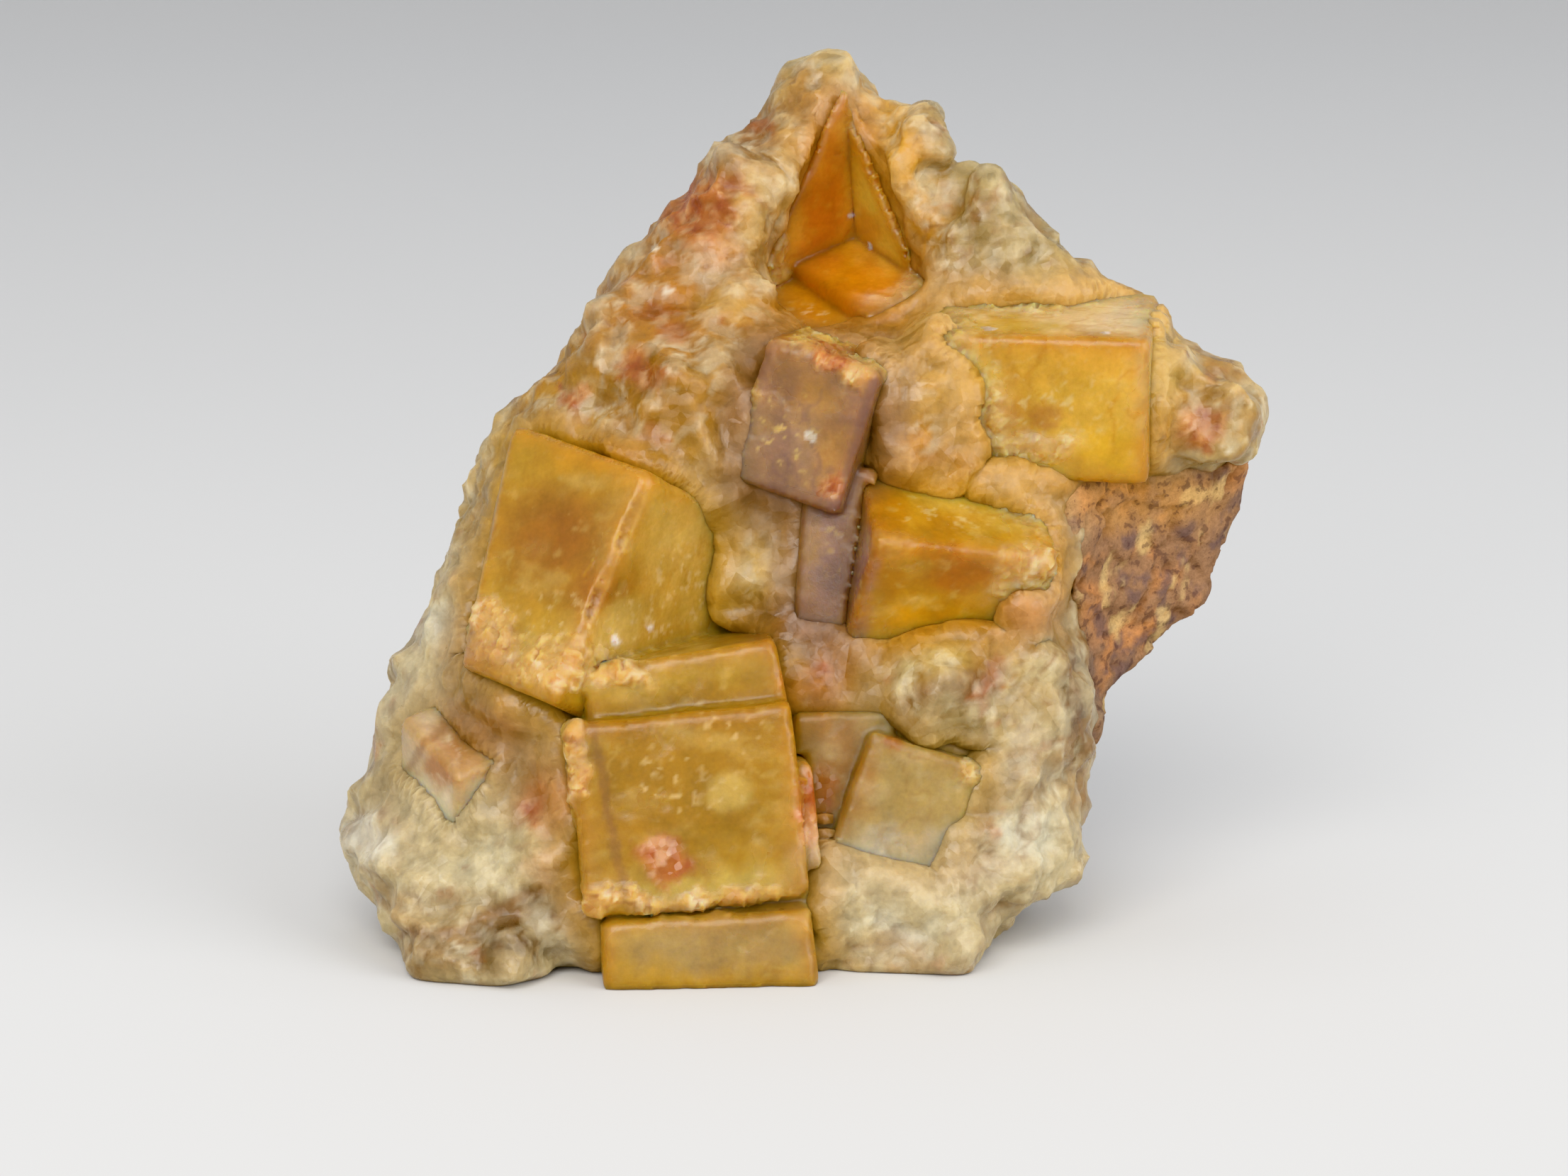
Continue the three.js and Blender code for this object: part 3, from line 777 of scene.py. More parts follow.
# %% Broad washes
WASHES = {
    # each: the colour, then the spots: x and z on the face, and the radii along them, in mm
    "crust at the upper left": ((178, 120, 44), (-5.5, 26.5, 5, 8), (-9.5, 20.5, 4.5, 4)),
    "peak": ((200, 172, 112), (3.4, 38.6, 4, 2.6)),
    "shaded margin by the peak": ((154, 106, 50), (-2.8, 33.6, 2.2, 3.6)),
    "flank at the upper right": ((176, 158, 112), (15.6, 28.6, 7, 7), (10.5, 33.5, 3, 4)),
    "slope above the big cube": ((172, 126, 36), (-9.5, 14, 9, 5), (-16, 14.5, 5, 3.4)),
    "left border": ((204, 186, 146), (-27, -5, 3.4, 6.4), (-30.5, -14.5, 3.4, 4)),
    "foot at the left": ((203, 183, 136), (-26, -19.6, 7.5, 7.5), (-28, -25, 6, 4)),
    "foot at the right": ((201, 182, 138), (9.5, -23, 8, 5.4), (18.6, -20, 4, 5)),
    "cream at the right": ((190, 164, 112), (18.6, -9, 4.2, 7)),
    "block at the right": ((206, 176, 116), (31, 14.5, 5, 5.6)),
    "big cube": ((192, 147, 44), (-17, 6, 6.5, 9), (-12, -3, 8, 5)),
    "right face of the big cube": ((203, 160, 72), (-6.6, 4, 6.4, 6.5), (-9, -3, 6, 4)),
    "lower cube": ((158, 115, 22), (-6.6, -14.4, 8, 10)),
    "summit": ((220, 158, 60), (5.4, 30.5, 6, 8), (8.8, 27, 4, 4)),
    "terrace": ((190, 124, 18), (5.6, 22.6, 6, 3.4), (1, 20, 5, 2.4)),
    "shoulder": ((216, 166, 58), (20.4, 15.8, 9.5, 7)),
    "middle cube": ((194, 138, 36), (13.2, 2, 6.4, 7.5)),
    "violet block": ((150, 108, 70), (0, 12.4, 4.6, 5.2)),
    "violet strip": ((158, 124, 112), (4.4, 1.6, 2.4, 6)),
    "hollow": ((186, 146, 78), (-1, 5, 3.4, 6), (-4.6, 9, 2, 3), (10, -6, 5, 1.6)),
    "corner cubes": ((191, 161, 92), (10.6, -15.6, 5, 4.4)),
    "brown companion": ((166, 116, 54), (3.9, -13, 2.6, 4)),
    "ledge": ((164, 134, 72), (-4.6, -27, 8.5, 2.4)),
}
print(len(WASHES), "washes")


# %% [markdown]
# Smaller marks come after the washes: brown phantoms inside the cubes, deep orange where
# the crystal is clear and thick, cream crusts along ridges, and rust in every hollow. Each
# has its own strength, softness and raggedness.

# %% Smaller marks
MARKS = {
    # each: the colour, strength, softness and raggedness, then the spots
    "phantom in the big cube": ((150, 92, 30), 0.9, 0.8, 0.5, (-17.3, 3.8, 4.4, 4), (-14, 0, 3, 2.4)),
    "orange top of the big cube": (
        (202, 144, 34), 0.7, 0.6, 0.5, (-14, 9.8, 3.6, 1.3), (-11, 8.2, 2.6, 1.1),
    ),
    "pale foot of the big cube": (
        (208, 172, 84), 0.75, 0.7, 1.0, (-10.5, -3.2, 4.8, 1.8), (-14, -6, 3.4, 1.6),
    ),
    "frosted corner of the big cube": ((210, 176, 104), 0.85, 0.6, 0.8, (-2, 2.6, 1.4, 3)),
    # painted shade: brown stone in the recess at the big cube's lower left corner, darkened
    "brown recess at the left, darkened as painted shade": ((156, 108, 48), 0.85, 0.5, 0.8, (-22.6, -4.2, 2.2, 2.6)),
    "cloud in the lower cube": ((168, 120, 28), 0.7, 0.8, 0.8, (-3.6, -11.6, 3.4, 3), (-11.6, -14, 2.4, 4)),
    "pale top of the lower cube": ((188, 150, 46), 0.6, 0.6, 0.8, (-8.4, -6.2, 4, 1.4)),
    "pale square in the lower cube": ((210, 178, 84), 0.6, 0.3, 0.25, (-4.2, -15.4, 1.7, 1.6)),
    "pale foot of the lower cube": ((198, 168, 72), 0.8, 0.6, 1.0, (-5.6, -22.8, 7.5, 1.7)),
    "deep orange in the summit": (
        (184, 104, 30), 0.95, 0.6, 0.5, (2.8, 28.2, 1.9, 3.8), (3.8, 31.5, 1.1, 3.2),
    ),
    "honey ridge of the summit": ((204, 150, 50), 0.7, 0.5, 0.5, (5.2, 33, 0.6, 4.5), (0.2, 30, 1.2, 3)),
    "right wall of the hollow": ((238, 182, 76), 0.85, 0.5, 0.5, (7.9, 30, 2.3, 7)),
    "orange above the middle cube": ((212, 148, 50), 0.8, 0.5, 0.8, (9.4, 10.4, 2.6, 2.4)),
    "rusty orange above the middle cube": ((192, 112, 40), 0.8, 0.5, 0.8, (12.8, 9.4, 2, 1)),
    "terrace, deepest": ((190, 112, 10), 0.8, 0.7, 0.6, (7.4, 22.4, 2.4, 1.8)),
    "cream ridges": ((226, 190, 118), 0.85, 0.45, 0.8, (-2.4, 28.6, 0.9, 3.6), (-1.4, 24.2, 1.6, 0.9)),
    "cream crust by the terrace": (
        (224, 182, 104), 0.8, 0.5, 1.0, (-4, 21.6, 2.4, 1.1), (10.4, 17.4, 3.4, 1.6),
    ),
    "crust on the shoulder": ((255, 214, 140), 0.95, 0.5, 1.0, (15, 21.8, 7.5, 1.3), (23.5, 20.6, 5, 1.4)),
    "right edge of the shoulder": ((232, 204, 126), 0.7, 0.5, 0.8, (27.6, 17, 1, 4.5)),
    "granules on the shoulder": (
        (190, 128, 52), 0.8, 0.5, 1.2, (14.6, 12.8, 3, 1.2), (17.6, 11.2, 2.6, 0.9), (19.6, 13, 1.4, 0.7),
    ),
    "bright foot of the shoulder": ((228, 174, 40), 0.75, 0.6, 0.8, (25, 10.6, 2.4, 1.8)),
    "lit side of the middle cube": ((180, 116, 8), 0.9, 0.4, 0.3, (8.1, 5, 1.2, 6.5)),
    "yellow top of the middle cube": (
        (214, 168, 72), 0.7, 0.6, 0.9, (13.6, 7.4, 4, 1.5), (16.4, 6, 2, 1.2),
    ),
    "orange front of the middle cube": ((214, 146, 18), 0.8, 0.6, 0.6, (11, -2.2, 2.8, 1.6)),
    "deep orange in the middle cube": ((176, 98, 16), 0.9, 0.6, 0.8, (13.8, 1.4, 2.8, 1.5)),
    "crust on the middle cube": ((208, 160, 92), 0.85, 0.5, 1.2, (18.2, 0.2, 2.2, 2.8)),
    "honey beside the violet block": (
        (180, 132, 66), 0.7, 0.6, 0.8, (3.4, 9.7, 1.8, 2.4), (2.6, 14.6, 1.8, 1.6),
    ),
    "mauve in the violet block": ((132, 96, 86), 0.8, 0.6, 1.0, (-1.6, 14, 2, 2), (-0.6, 10.4, 2.2, 1.2)),
    "pale haze on the violet block": (
        (184, 148, 112), 0.5, 0.7, 1.2, (0.6, 11.6, 1.6, 2), (-2, 12, 0.8, 1.4),
    ),
    "dark end of the violet strip": ((116, 92, 98), 0.7, 0.7, 1.0, (4.6, 0.6, 1.4, 3)),
    "violet ground by the block": ((146, 110, 86), 0.85, 0.6, 1.2, (-0.8, 7, 3.4, 3), (4, -3.6, 2, 2.6)),
    # brown crystals, darkened as painted shade under the big cube's lower right edge
    "brown wedge by the strip, with painted shade under the big cube": ((134, 86, 40), 0.9, 0.4, 0.6, (-0.6, -3, 2.6, 1.8), (2.4, -4.6, 2, 1.3)),
    "brown above the corner": ((136, 88, 46), 0.85, 0.5, 1.0, (14.2, -7, 2.4, 1.4), (10.7, -8.8, 1.5, 1.4)),
    "grey cream above the corner": ((182, 158, 104), 0.7, 0.6, 0.8, (12.6, -10.2, 3.2, 1.6)),
    "white in the corner cube": ((206, 188, 154), 0.8, 0.7, 1.2, (8.6, -20.6, 5.4, 1.8), (12, -19, 3, 1)),
    "cream below the middle cube": ((212, 184, 108), 0.7, 0.5, 0.8, (12.4, -5, 1.8, 1.8)),
    "brown top of the foot crystal": (
        (164, 110, 54), 0.95, 0.5, 0.7, (-22.6, -11.2, 4, 2.6), (-26.2, -13.8, 1.4, 1.6),
    ),
    "white of the foot": ((222, 208, 170), 0.7, 0.6, 1.4, (-26.6, -17, 2.6, 2), (-23.5, -21, 3, 1.4)),
    "white knobs": (
        (238, 234, 214), 0.9, 0.5, 1.2, (-26.4, -2.8, 1.6, 1.6), (17.8, -18.8, 2.4, 1.8), (9, -25.6, 3, 0.8),
    ),
    "white knob at the left": ((246, 244, 236), 0.95, 0.5, 1.0, (-31.6, -18.7, 1.8, 1.8)),
    "white triangle by the strip": ((206, 188, 134), 0.8, 0.4, 0.5, (8.8, -6.4, 1.4, 1.4)),
    "grey tan base": ((156, 130, 90), 0.85, 0.6, 1.0, (-25.6, -27.4, 5, 1.8), (-20.6, -25.2, 1.6, 1.2)),
    "brown base": ((92, 60, 30), 0.9, 0.6, 1.2, (-18, -24.4, 3, 1.6), (-19.4, -26.6, 3.4, 2.2)),
    "dark right border": ((100, 68, 48), 0.8, 0.6, 1.0, (22.4, -7.4, 1.4, 5)),
}
print(len(MARKS), "smaller marks")


# %% [markdown]
# Rust is the sharpest of them: it sits in small grainy patches with red cores and sparkles,
# which are partly painted pale flecks. Thin brown lines follow healed cracks and the edges of
# buried crystals, and one is painted shadow in the groove below the lower cube. The white
# dots are painted highlights where small cleavage flats catch the light.

# %% Rust, cracks and glints
RUST_PATCHES = [  # spots, as in the crusts
    (-5.8, 28.4, 2.6, 2.4), (-10.8, 16.5, 1.7, 1.3), (-15.8, 14.4, 1.1, 0.9),
    (-18.2, -16, 2.1, 2.1), (-9.4, -20.3, 1.9, 1.3), (2.3, -7.4, 2.5, 1.9),
    (2.3, -16.6, 1.4, 2.6), (3.6, 17.8, 2.2, 0.9), (3.7, 7.7, 1.1, 1), (31.4, 12, 2, 1.4),
    (18.4, -1.6, 1.6, 1.3), (14.8, -17.4, 0.9, 0.8),
]
RED_CORES = [
    (-9.4, 21, 2, 0.6), (-8.3, 19.6, 1.3, 0.6), (-1.7, 35.1, 0.8, 0.7), (-10.8, 16.4, 0.7, 0.6),
    (-12, 10.1, 2.2, 0.7), (-17.6, -15.4, 0.9, 0.8), (-9.1, -20.6, 0.9, 0.7),
    (2.2, -7.6, 1.4, 1), (2.2, -15.4, 0.8, 1), (8.6, -11.6, 0.8, 0.5), (-16, 14.3, 0.5, 0.5),
]
PINK_PATCHES = [(-17.7, -21, 1.7, 1.6), (-9.9, -19.6, 1, 0.6), (2.6, -18.6, 0.9, 1), (-4.6, 25.6, 1.2, 0.9)]
CRACKS_AND_SHADOW_LINE = [  # paths through points x, z on the face
    [(-30.5, -17.2), (-27.4, -11.8), (-22.1, -8.4)],
    [(-29, -26.3), (-24, -25.8), (-18.3, -22.6)],
    [(5.9, -7.5), (10.4, -10.5), (15.5, -13.2), (15.3, -17)],
    # painted shadow: a line in the groove below the lower cube, not a crack
    [(-11.6, -24.3), (1.2, -24.1)],
    [(-14.6, -10.2), (-13.4, -16), (-12.2, -24)],
    [(-20.5, -9.5), (-15.5, -12)],
]
GLINT_SIZE = 0.7  # what the radii of the glints are multiplied by
# painted highlights: near-white dots where small cleavage flats catch the light
PAINTED_GLINTS = [
    (-8.8, 22.4, 0.5, 0.5), (-9.7, 25.5, 0.35, 0.5), (-12.5, -3.9, 0.45, 0.4),
    (-10.3, -2.9, 0.4, 0.35), (5, 27.9, 0.5, 0.35), (6.4, 26.2, 0.4, 0.3),
    (33.7, 10.5, 0.5, 0.4), (1.8, 11.5, 0.6, 0.4), (1.8, -8.6, 0.4, 0.6),
    (15.6, 19.6, 0.7, 0.25), (24.4, 19, 0.6, 0.3), (16, 8, 0.6, 0.3), (-26.4, -3, 0.7, 0.7),
    (0.4, 1.2, 0.3, 1.2),
]
FLECKED = [  # where pale specks lie in the crystals
    (-10.5, -2.6, 5.4, 2.6), (-6.6, 1, 3.4, 2.6), (-17.4, -2.6, 3, 2.4), (-9.4, -14.4, 3, 3),
    (-4.2, -15.4, 1.8, 1.8), (-5, -10.6, 4, 1.6), (19, 13.4, 6, 2.6), (14, 17.5, 3, 3),
    (13.2, 6.6, 4.4, 1.8), (1.4, 20.4, 2, 1.4), (-0.8, 12, 3, 3), (4.6, 2, 1.6, 5),
]


def paint_face(canvas):
    """The shared washes and marks, from the broadest to the finest."""
    for hue, *places in WASHES.values():
        canvas.lay(hue, canvas.cover(places, soft=0.45, ragged=1.2), strength=0.95)
    for hue, strength, soft, ragged, *places in MARKS.values():
        canvas.lay(hue, canvas.cover(places, soft, ragged), strength)


def paint_accents(canvas):
    """Cracks, a painted shadow line, rust with painted sparkles and painted glints, over everything else."""
    # brown lines along healed cracks, and one painted shadow line below the lower cube
    for path in CRACKS_AND_SHADOW_LINE:
        canvas.lay((140, 96, 48), canvas.line_cover(path, width=0.45), 0.6)
    rust = canvas.cover(RUST_PATCHES, 0.4, 1.0)
    canvas.lay((190, 116, 64), rust, 0.8)
    canvas.clouds((162, 78, 40), 0.9 * MM, 0.05, 0.2, 0.8 * rust, 93)
    canvas.lay((166, 86, 40), canvas.cover(RED_CORES, 0.4, 0.7), 0.6)
    canvas.lay((216, 168, 118), canvas.cover(PINK_PATCHES, 0.5, 0.9), 0.6)
    specks = fade(rough_noise(canvas.points, 0.5 * MM, 95), 0.2, 0.36)
    canvas.lay((226, 192, 112), specks * canvas.cover(FLECKED, 0.6, 1.0), 0.7)
    # pale flecks in the rust, painted as its sparkles
    flecks = rust * fade(rough_noise(canvas.points, 0.7 * MM, 90), 0.12, 0.35)
    canvas.lay((232, 190, 140), flecks, 0.6)
    # painted highlights: the near-white glint dots
    painted_glints = canvas.cover(np.array(PAINTED_GLINTS) * (1, 1, GLINT_SIZE, GLINT_SIZE), 0.4, 0.5)
    canvas.lay((240, 232, 214), painted_glints, 0.9)
    canvas.glint += 0.8 * rust + painted_glints


# %% [markdown]
# Every mineral then adds a character of its own: clouds inside the crystals, pale frosting
# where a face is etched or worn, and on the broken stone painted shade in the hollows and
# painted light on the high flats.

# %% Painting the crystals
# painted shade along the cubes' edges, which tones down the light that they catch
EDGE_SHADE = 0.92  # the cubes' edges are a little darker than the darker clouds
CRYSTAL_COLOURS = {
    # base, darker clouds, paler clouds
    "honey-crystals": ((190, 146, 46), (170, 118, 34), (208, 172, 82)),
    "summit-crystals": ((190, 126, 30), (160, 86, 16), (208, 156, 62)),
    "orange-crystals": ((206, 152, 50), (182, 112, 20), (226, 186, 98)),
    "frosted-crystals": ((186, 154, 88), (166, 126, 62), (212, 190, 136)),
    "violet-crystals": ((150, 110, 80), (112, 82, 84), (182, 138, 82)),
    "milky-crystal": ((196, 172, 120), (170, 132, 76), (216, 200, 158)),
}
canvases = {}
for number, (crystal_name, (base, deep, pale)) in enumerate(CRYSTAL_COLOURS.items()):
    canvas = Canvas(*crystals[crystal_name], base)
    paint_face(canvas)
    canvas.clouds(deep, 5 * MM, 0.1, 0.5, 0.5, 1000 + 100 * number)
    canvas.clouds(pale, 4 * MM, 0.1, 0.5, 0.5, 1020 + 100 * number, (1, 1, 1.8))
    canvas.clouds(pale, 0.9 * MM, 0.2, 0.5, 0.35, 1040 + 100 * number)
    canvas.lay(deep, fade(canvas.fields["plates"], 0.3, 0.35), 0.16)
    canvas.lay(pale, fade(canvas.fields["plates"], 0.7, 0.75), 0.2)
    canvas.veins(pale, 4 * MM, 0.03, 0.3, 1060 + 100 * number, (1, 1, 1.6))
    canvas.veins(deep, 4 * MM, 0.04, 0.4, 1080 + 100 * number)
    # painted shade: the broad border round each edge and the edge itself are darkened
    canvas.lay(deep, canvas.fields["border"], 0.3)
    canvas.lay(np.multiply(deep, EDGE_SHADE), canvas.fields["edges"], 0.55)
    canvas.lay(pale, canvas.fields["etched"], 0.35)
    crust = canvas.fields["crust"]
    canvas.lay((216, 172, 98), crust, 0.75)
    canvas.clouds((190, 130, 62), 1.4 * MM, 0.1, 0.3, 0.5 * crust, 1090 + 100 * number)
    canvas.clouds((238, 214, 160), 0.8 * MM, 0.15, 0.35, 0.7 * crust, 1095 + 100 * number)
    canvas.glint += 0.7 * crust
    canvas.frost += 0.25 * canvas.fields["border"] + 0.7 * canvas.fields["etched"] + crust
    paint_accents(canvas)
    canvases[crystal_name] = canvas
print("painted", ", ".join(canvases))


# %% Painting the broken stone
CALM_PLACES = [(1, 5, 5, 9), (4, -9, 4, 6), (-4.6, 14, 5, 3), (-22, -12, 5, 3.6)]
HONEY_PLACES = [(-8, 20, 9, 12), (10, 20, 9, 9)]
WHITE_PLACES = [(-27, -20, 6, 5), (12, -24, 9, 6), (19, -17, 3, 6), (-30, -7, 3, 6)]

canvas = Canvas(matrix, matrix_fields, (190, 158, 100))
canvas.clouds((172, 132, 70), 9 * MM, -0.05, 0.4, 0.8, 1600)
canvas.clouds((208, 192, 152), 7 * MM, 0.05, 0.45, 0.8, 1620)
paint_face(canvas)
wild = 1 - 0.75 * canvas.cover(CALM_PLACES, 0.6)
canvas.clouds((156, 106, 46), 3.4 * MM, 0.08, 0.4, 0.5 * wild, 1640, (1, 1, 1.6))
canvas.clouds((228, 214, 176), 2.4 * MM, 0.12, 0.4, 0.5 * wild, 1660)
canvas.clouds((182, 104, 56), 2 * MM, 0.34, 0.5, 0.6, 1680)
canvas.clouds((240, 230, 202), 0.9 * MM, 0.2, 0.42, 0.4 * wild, 1682)
canvas.clouds((140, 92, 46), 0.8 * MM, 0.26, 0.42, 0.4, 1684)
# painted light and shade: cream on the high flats of the relief, brown in its hollows
canvas.lay((226, 212, 174), fade(canvas.fields["relief"], 0.15, 0.7), 0.3 * wild)
canvas.lay((158, 110, 52), fade(-canvas.fields["relief"], 0.15, 0.7), 0.3 * wild)
canvas.veins((140, 92, 44), 5 * MM, 0.035, 0.6, 1690)
canvas.veins((240, 232, 206), 2.4 * MM, 0.05, 0.5 * wild, 1695)
canvas.lay((180, 124, 42), canvas.cover(HONEY_PLACES, 0.8), 0.3)
canvas.lay((218, 208, 182), canvas.cover(WHITE_PLACES, 0.8), 0.3)
# painted highlights: pale on a share of the small cleavage flakes, as if they caught the light
canvas.lay((232, 220, 190), fade(canvas.fields["flake"], 0.7, 0.76), 0.3)
paint_accents(canvas)
canvases["pale-matrix"] = canvas

rock = Canvas(host, host_fields, (138, 98, 74))
rock.clouds((184, 118, 72), 3 * MM, 0, 0.4, 0.7, 1700)
rock.clouds((96, 72, 72), 1.3 * MM, 0.04, 0.3, 0.75, 1720)
rock.clouds((204, 164, 112), 1.6 * MM, 0.18, 0.42, 0.6, 1740, (1, 1, 0.5))
# the pits are painted darker
rock.lay((104, 64, 44), rock.fields["pits"], 0.5)
rock.lay((112, 86, 74), rock.cover([(22.6, -7.6, 1.8, 5)], 0.6), 0.7)
rock.lay((204, 142, 78), rock.cover([(27.5, 6.6, 5, 2.2)], 0.6), 0.4)
canvases["host-rock"] = rock
print("painted the matrix and the host rock")


# %% [markdown]
# ## Colour that crosses the seams
# Light spreads through fluorite, so colours never stop sharply where two crystals meet. The
# space around the specimen is divided into small cells. Each cell gets the average colour
# of all the points in it, the cells are blurred, and every point takes some of that back.

# %% Bleeding
def bleed(pieces, cell, rounds, least, at_seams):
    """Blends each point's colour with the average around it: by least everywhere, and by
    up to at_seams more where the points around it are another piece's."""
    cells = Cells([canvas.points for canvas in pieces], cell)
    counts = [cells.blurred(cells.gather(canvas.points), rounds) for canvas in pieces]
    crowd = np.maximum(sum(counts), 1e-9)
    average = []
    for k in range(3):
        light = sum(cells.gather(canvas.points, canvas.paint[:, k]) for canvas in pieces)
        average.append(cells.blurred(light, rounds) / crowd)
    for own, canvas in zip(counts, pieces):
        around = np.stack([cells.sample(channel, canvas.points) for channel in average], 1)
        others = 1 - cells.sample(own / crowd, canvas.points)
        canvas.seam = fade(others, 0.05, 0.5)
        share = (least + at_seams * canvas.seam)[:, None]
        canvas.paint = canvas.paint * (1 - share) + around * share


fluorite = [canvas for label, canvas in canvases.items() if label != "host-rock"]
bleed(fluorite, cell=0.8 * MM, rounds=3, least=0.15, at_seams=0.75)
bleed([canvases["pale-matrix"], canvases["host-rock"]], cell=0.5 * MM, rounds=1, least=0, at_seams=0.35)
print("colours have crossed the seams")


# %% [markdown]
# Light that passes through a crystal or scatters in it loses some colours more than others,
# so each piece's paint is multiplied by a gain of its own before it is stored. Where a
# crystal is thin, at its seams, and on its white glints such a gain would show as green or
# blue, so there it tends to the same plain value for all three colours.

# %% The last correction of the colours
GAINS = {
    "honey-crystals": (0.8, 0.84, 1.2),
    "summit-crystals": (1.24, 1.3, 2.0),
    "orange-crystals": (0.95, 1.06, 1.4),
    "frosted-crystals": (0.84, 0.86, 0.95),
    "violet-crystals": (1.0, 1.04, 1.04),
    "milky-crystal": (0.95, 0.95, 1.05),
    "pale-matrix": (0.62, 0.6, 0.54),
    "host-rock": (1.15, 1.3, 1.2),
}
SEAM_GAIN = 0.75  # what a crystal's gain tends to at its seams, where it is thin
GLINT_GAIN = 0.85  # and on its glints

for label, canvas in canvases.items():
    data = canvas.piece.data
    gain = np.array(GAINS[label])
    if label in crystals:
        # Full at a seam, and a third as much in the broad border round each edge.
        thin = 0.9 * np.maximum(canvas.seam, 0.3 * canvas.fields["border"])
        gain = gain + thin[:, None] * (SEAM_GAIN - gain)
        gain = gain + 0.8 * np.clip(canvas.glint, 0, 1)[:, None] * (GLINT_GAIN - gain)
    canvas.paint = canvas.paint * gain
    rgba = np.column_stack([np.clip(canvas.paint, 0, 1), np.ones(len(canvas.paint))])
    data.color_attributes.new("tint", "FLOAT_COLOR", "POINT").data.foreach_set("color", rgba.ravel())
    if label in crystals:
        for field, values in [("frost", canvas.frost), ("glint", canvas.glint)]:
            kept_values = np.clip(values, 0, 1).astype(np.float32)
            data.attributes.new(field, "FLOAT", "POINT").data.foreach_set("value", kept_values)
    print(canvas.piece.name, "mean colour", canvas.paint.mean(0).round(3))


# %% [markdown]
# ## Materials
# Every finish starts from the painted colour and is broken up once more by fine noise on
# object coordinates. A crystal lets a share of the light through, bent by fluorite's low
# index of refraction, 1.434, and absorbs blue light inside, so thick crystal turns amber.
# The rest scatters under its surface, because it is cloudy. The stone only scatters.

# %% Helpers for the node trees
FLUORITE_IOR = 1.434


class Finish:
    """A material with a Principled shader and short ways to add and join nodes."""

    def __init__(self, name):
        self.material = bpy.data.materials.new(name)
        self.material.use_nodes = True
        self.nodes = self.material.node_tree.nodes
        self.links = self.material.node_tree.links
        self.shader = self.nodes["Principled BSDF"]
        self.where = self.add("ShaderNodeTexCoord").outputs["Object"]

    def feed(self, socket, source):
        """Joins a node's output to a socket, or sets the socket to a plain value."""
        if isinstance(source, bpy.types.NodeSocket):
            self.links.new(source, socket)
        else:
            socket.default_value = source

    def add(self, kind, feeds=(), **settings):
        """A new node with its settings. Feeds are its sockets, each with what goes in."""
        node = self.nodes.new(kind)
        for label, value in settings.items():
            setattr(node, label, value)
        for socket, source in dict(feeds).items():
            self.feed(node.inputs[socket], source)
        return node

    def noise(self, size, detail=4, roughness=0.6):
        """Noise from 0 to 1 whose lumps are about size metres across."""
        feeds = {"Vector": self.where, "Scale": 1 / size, "Detail": detail, "Roughness": roughness}
        return self.add("ShaderNodeTexNoise", feeds).outputs["Fac"]

    def field(self, label, output="Fac"):
        return self.add("ShaderNodeAttribute", attribute_name=label).outputs[output]

    def math(self, operation, *values, kind="ShaderNodeMath", output=0):
        return self.add(kind, enumerate(values), operation=operation).outputs[output]

    def ranged(self, value, low, high, to_low, to_high):
        """A value stretched from one range to another, and kept inside it."""
        feeds = enumerate((value, low, high, to_low, to_high))
        return self.add("ShaderNodeMapRange", feeds).outputs["Result"]

    def mix(self, share, one, other, blend="MIX"):
        feeds = {"Factor": share, 6: one, 7: other}
        return self.add("ShaderNodeMix", feeds, data_type="RGBA", blend_type=blend).outputs[2]

    def facets(self, size):
        """Heights of tiny tilted flats: in each Voronoi cell, the way from the cell's middle
        dotted with a random direction, which is the cell's own colour."""
        cells = self.add("ShaderNodeTexVoronoi", {"Vector": self.where, "Scale": 1 / size}).outputs
        vectors = "ShaderNodeVectorMath"
        away = self.math("SUBTRACT", self.where, cells["Position"], kind=vectors)
        tilt = self.math("SUBTRACT", cells["Color"], (0.5, 0.5, 0.5), kind=vectors)
        return self.math("DOT_PRODUCT", away, tilt, kind=vectors, output="Value")

    def bump(self, height, strength, distance, under=None):
        feeds = {"Height": height, "Strength": strength, "Distance": distance}
        if under is not None:
            feeds["Normal"] = under
        return self.add("ShaderNodeBump", feeds).outputs["Normal"]

    def absorb(self, hue, density):
        """Light that crosses the inside loses what hue lacks: density times one minus hue
        is the rate at which it fades per metre, in each colour."""
        inside = self.add("ShaderNodeVolumeAbsorption", {"Color": (*hue, 1), "Density": density})
        self.links.new(inside.outputs[0], self.nodes["Material Output"].inputs["Volume"])

    def set(self, **values):
        """Sets the shader's own sockets. An underscore in a name stands for a space."""
        for label, value in values.items():
            self.feed(self.shader.inputs[label.replace("_", " ")], value)


print("fluorite bends light by an index of", FLUORITE_IOR)


# %% [markdown]
# ## Crystal finishes
# One function makes all the crystal finishes, because they differ only in how clear, how
# glossy and how deep in colour they are. Fine grain varies the painted colour, frost makes
# the surface rougher, and glints are tiny flats that flash.

# %% Crystals from clear to milky
SCATTER_DEPTH = 3.5 * MM


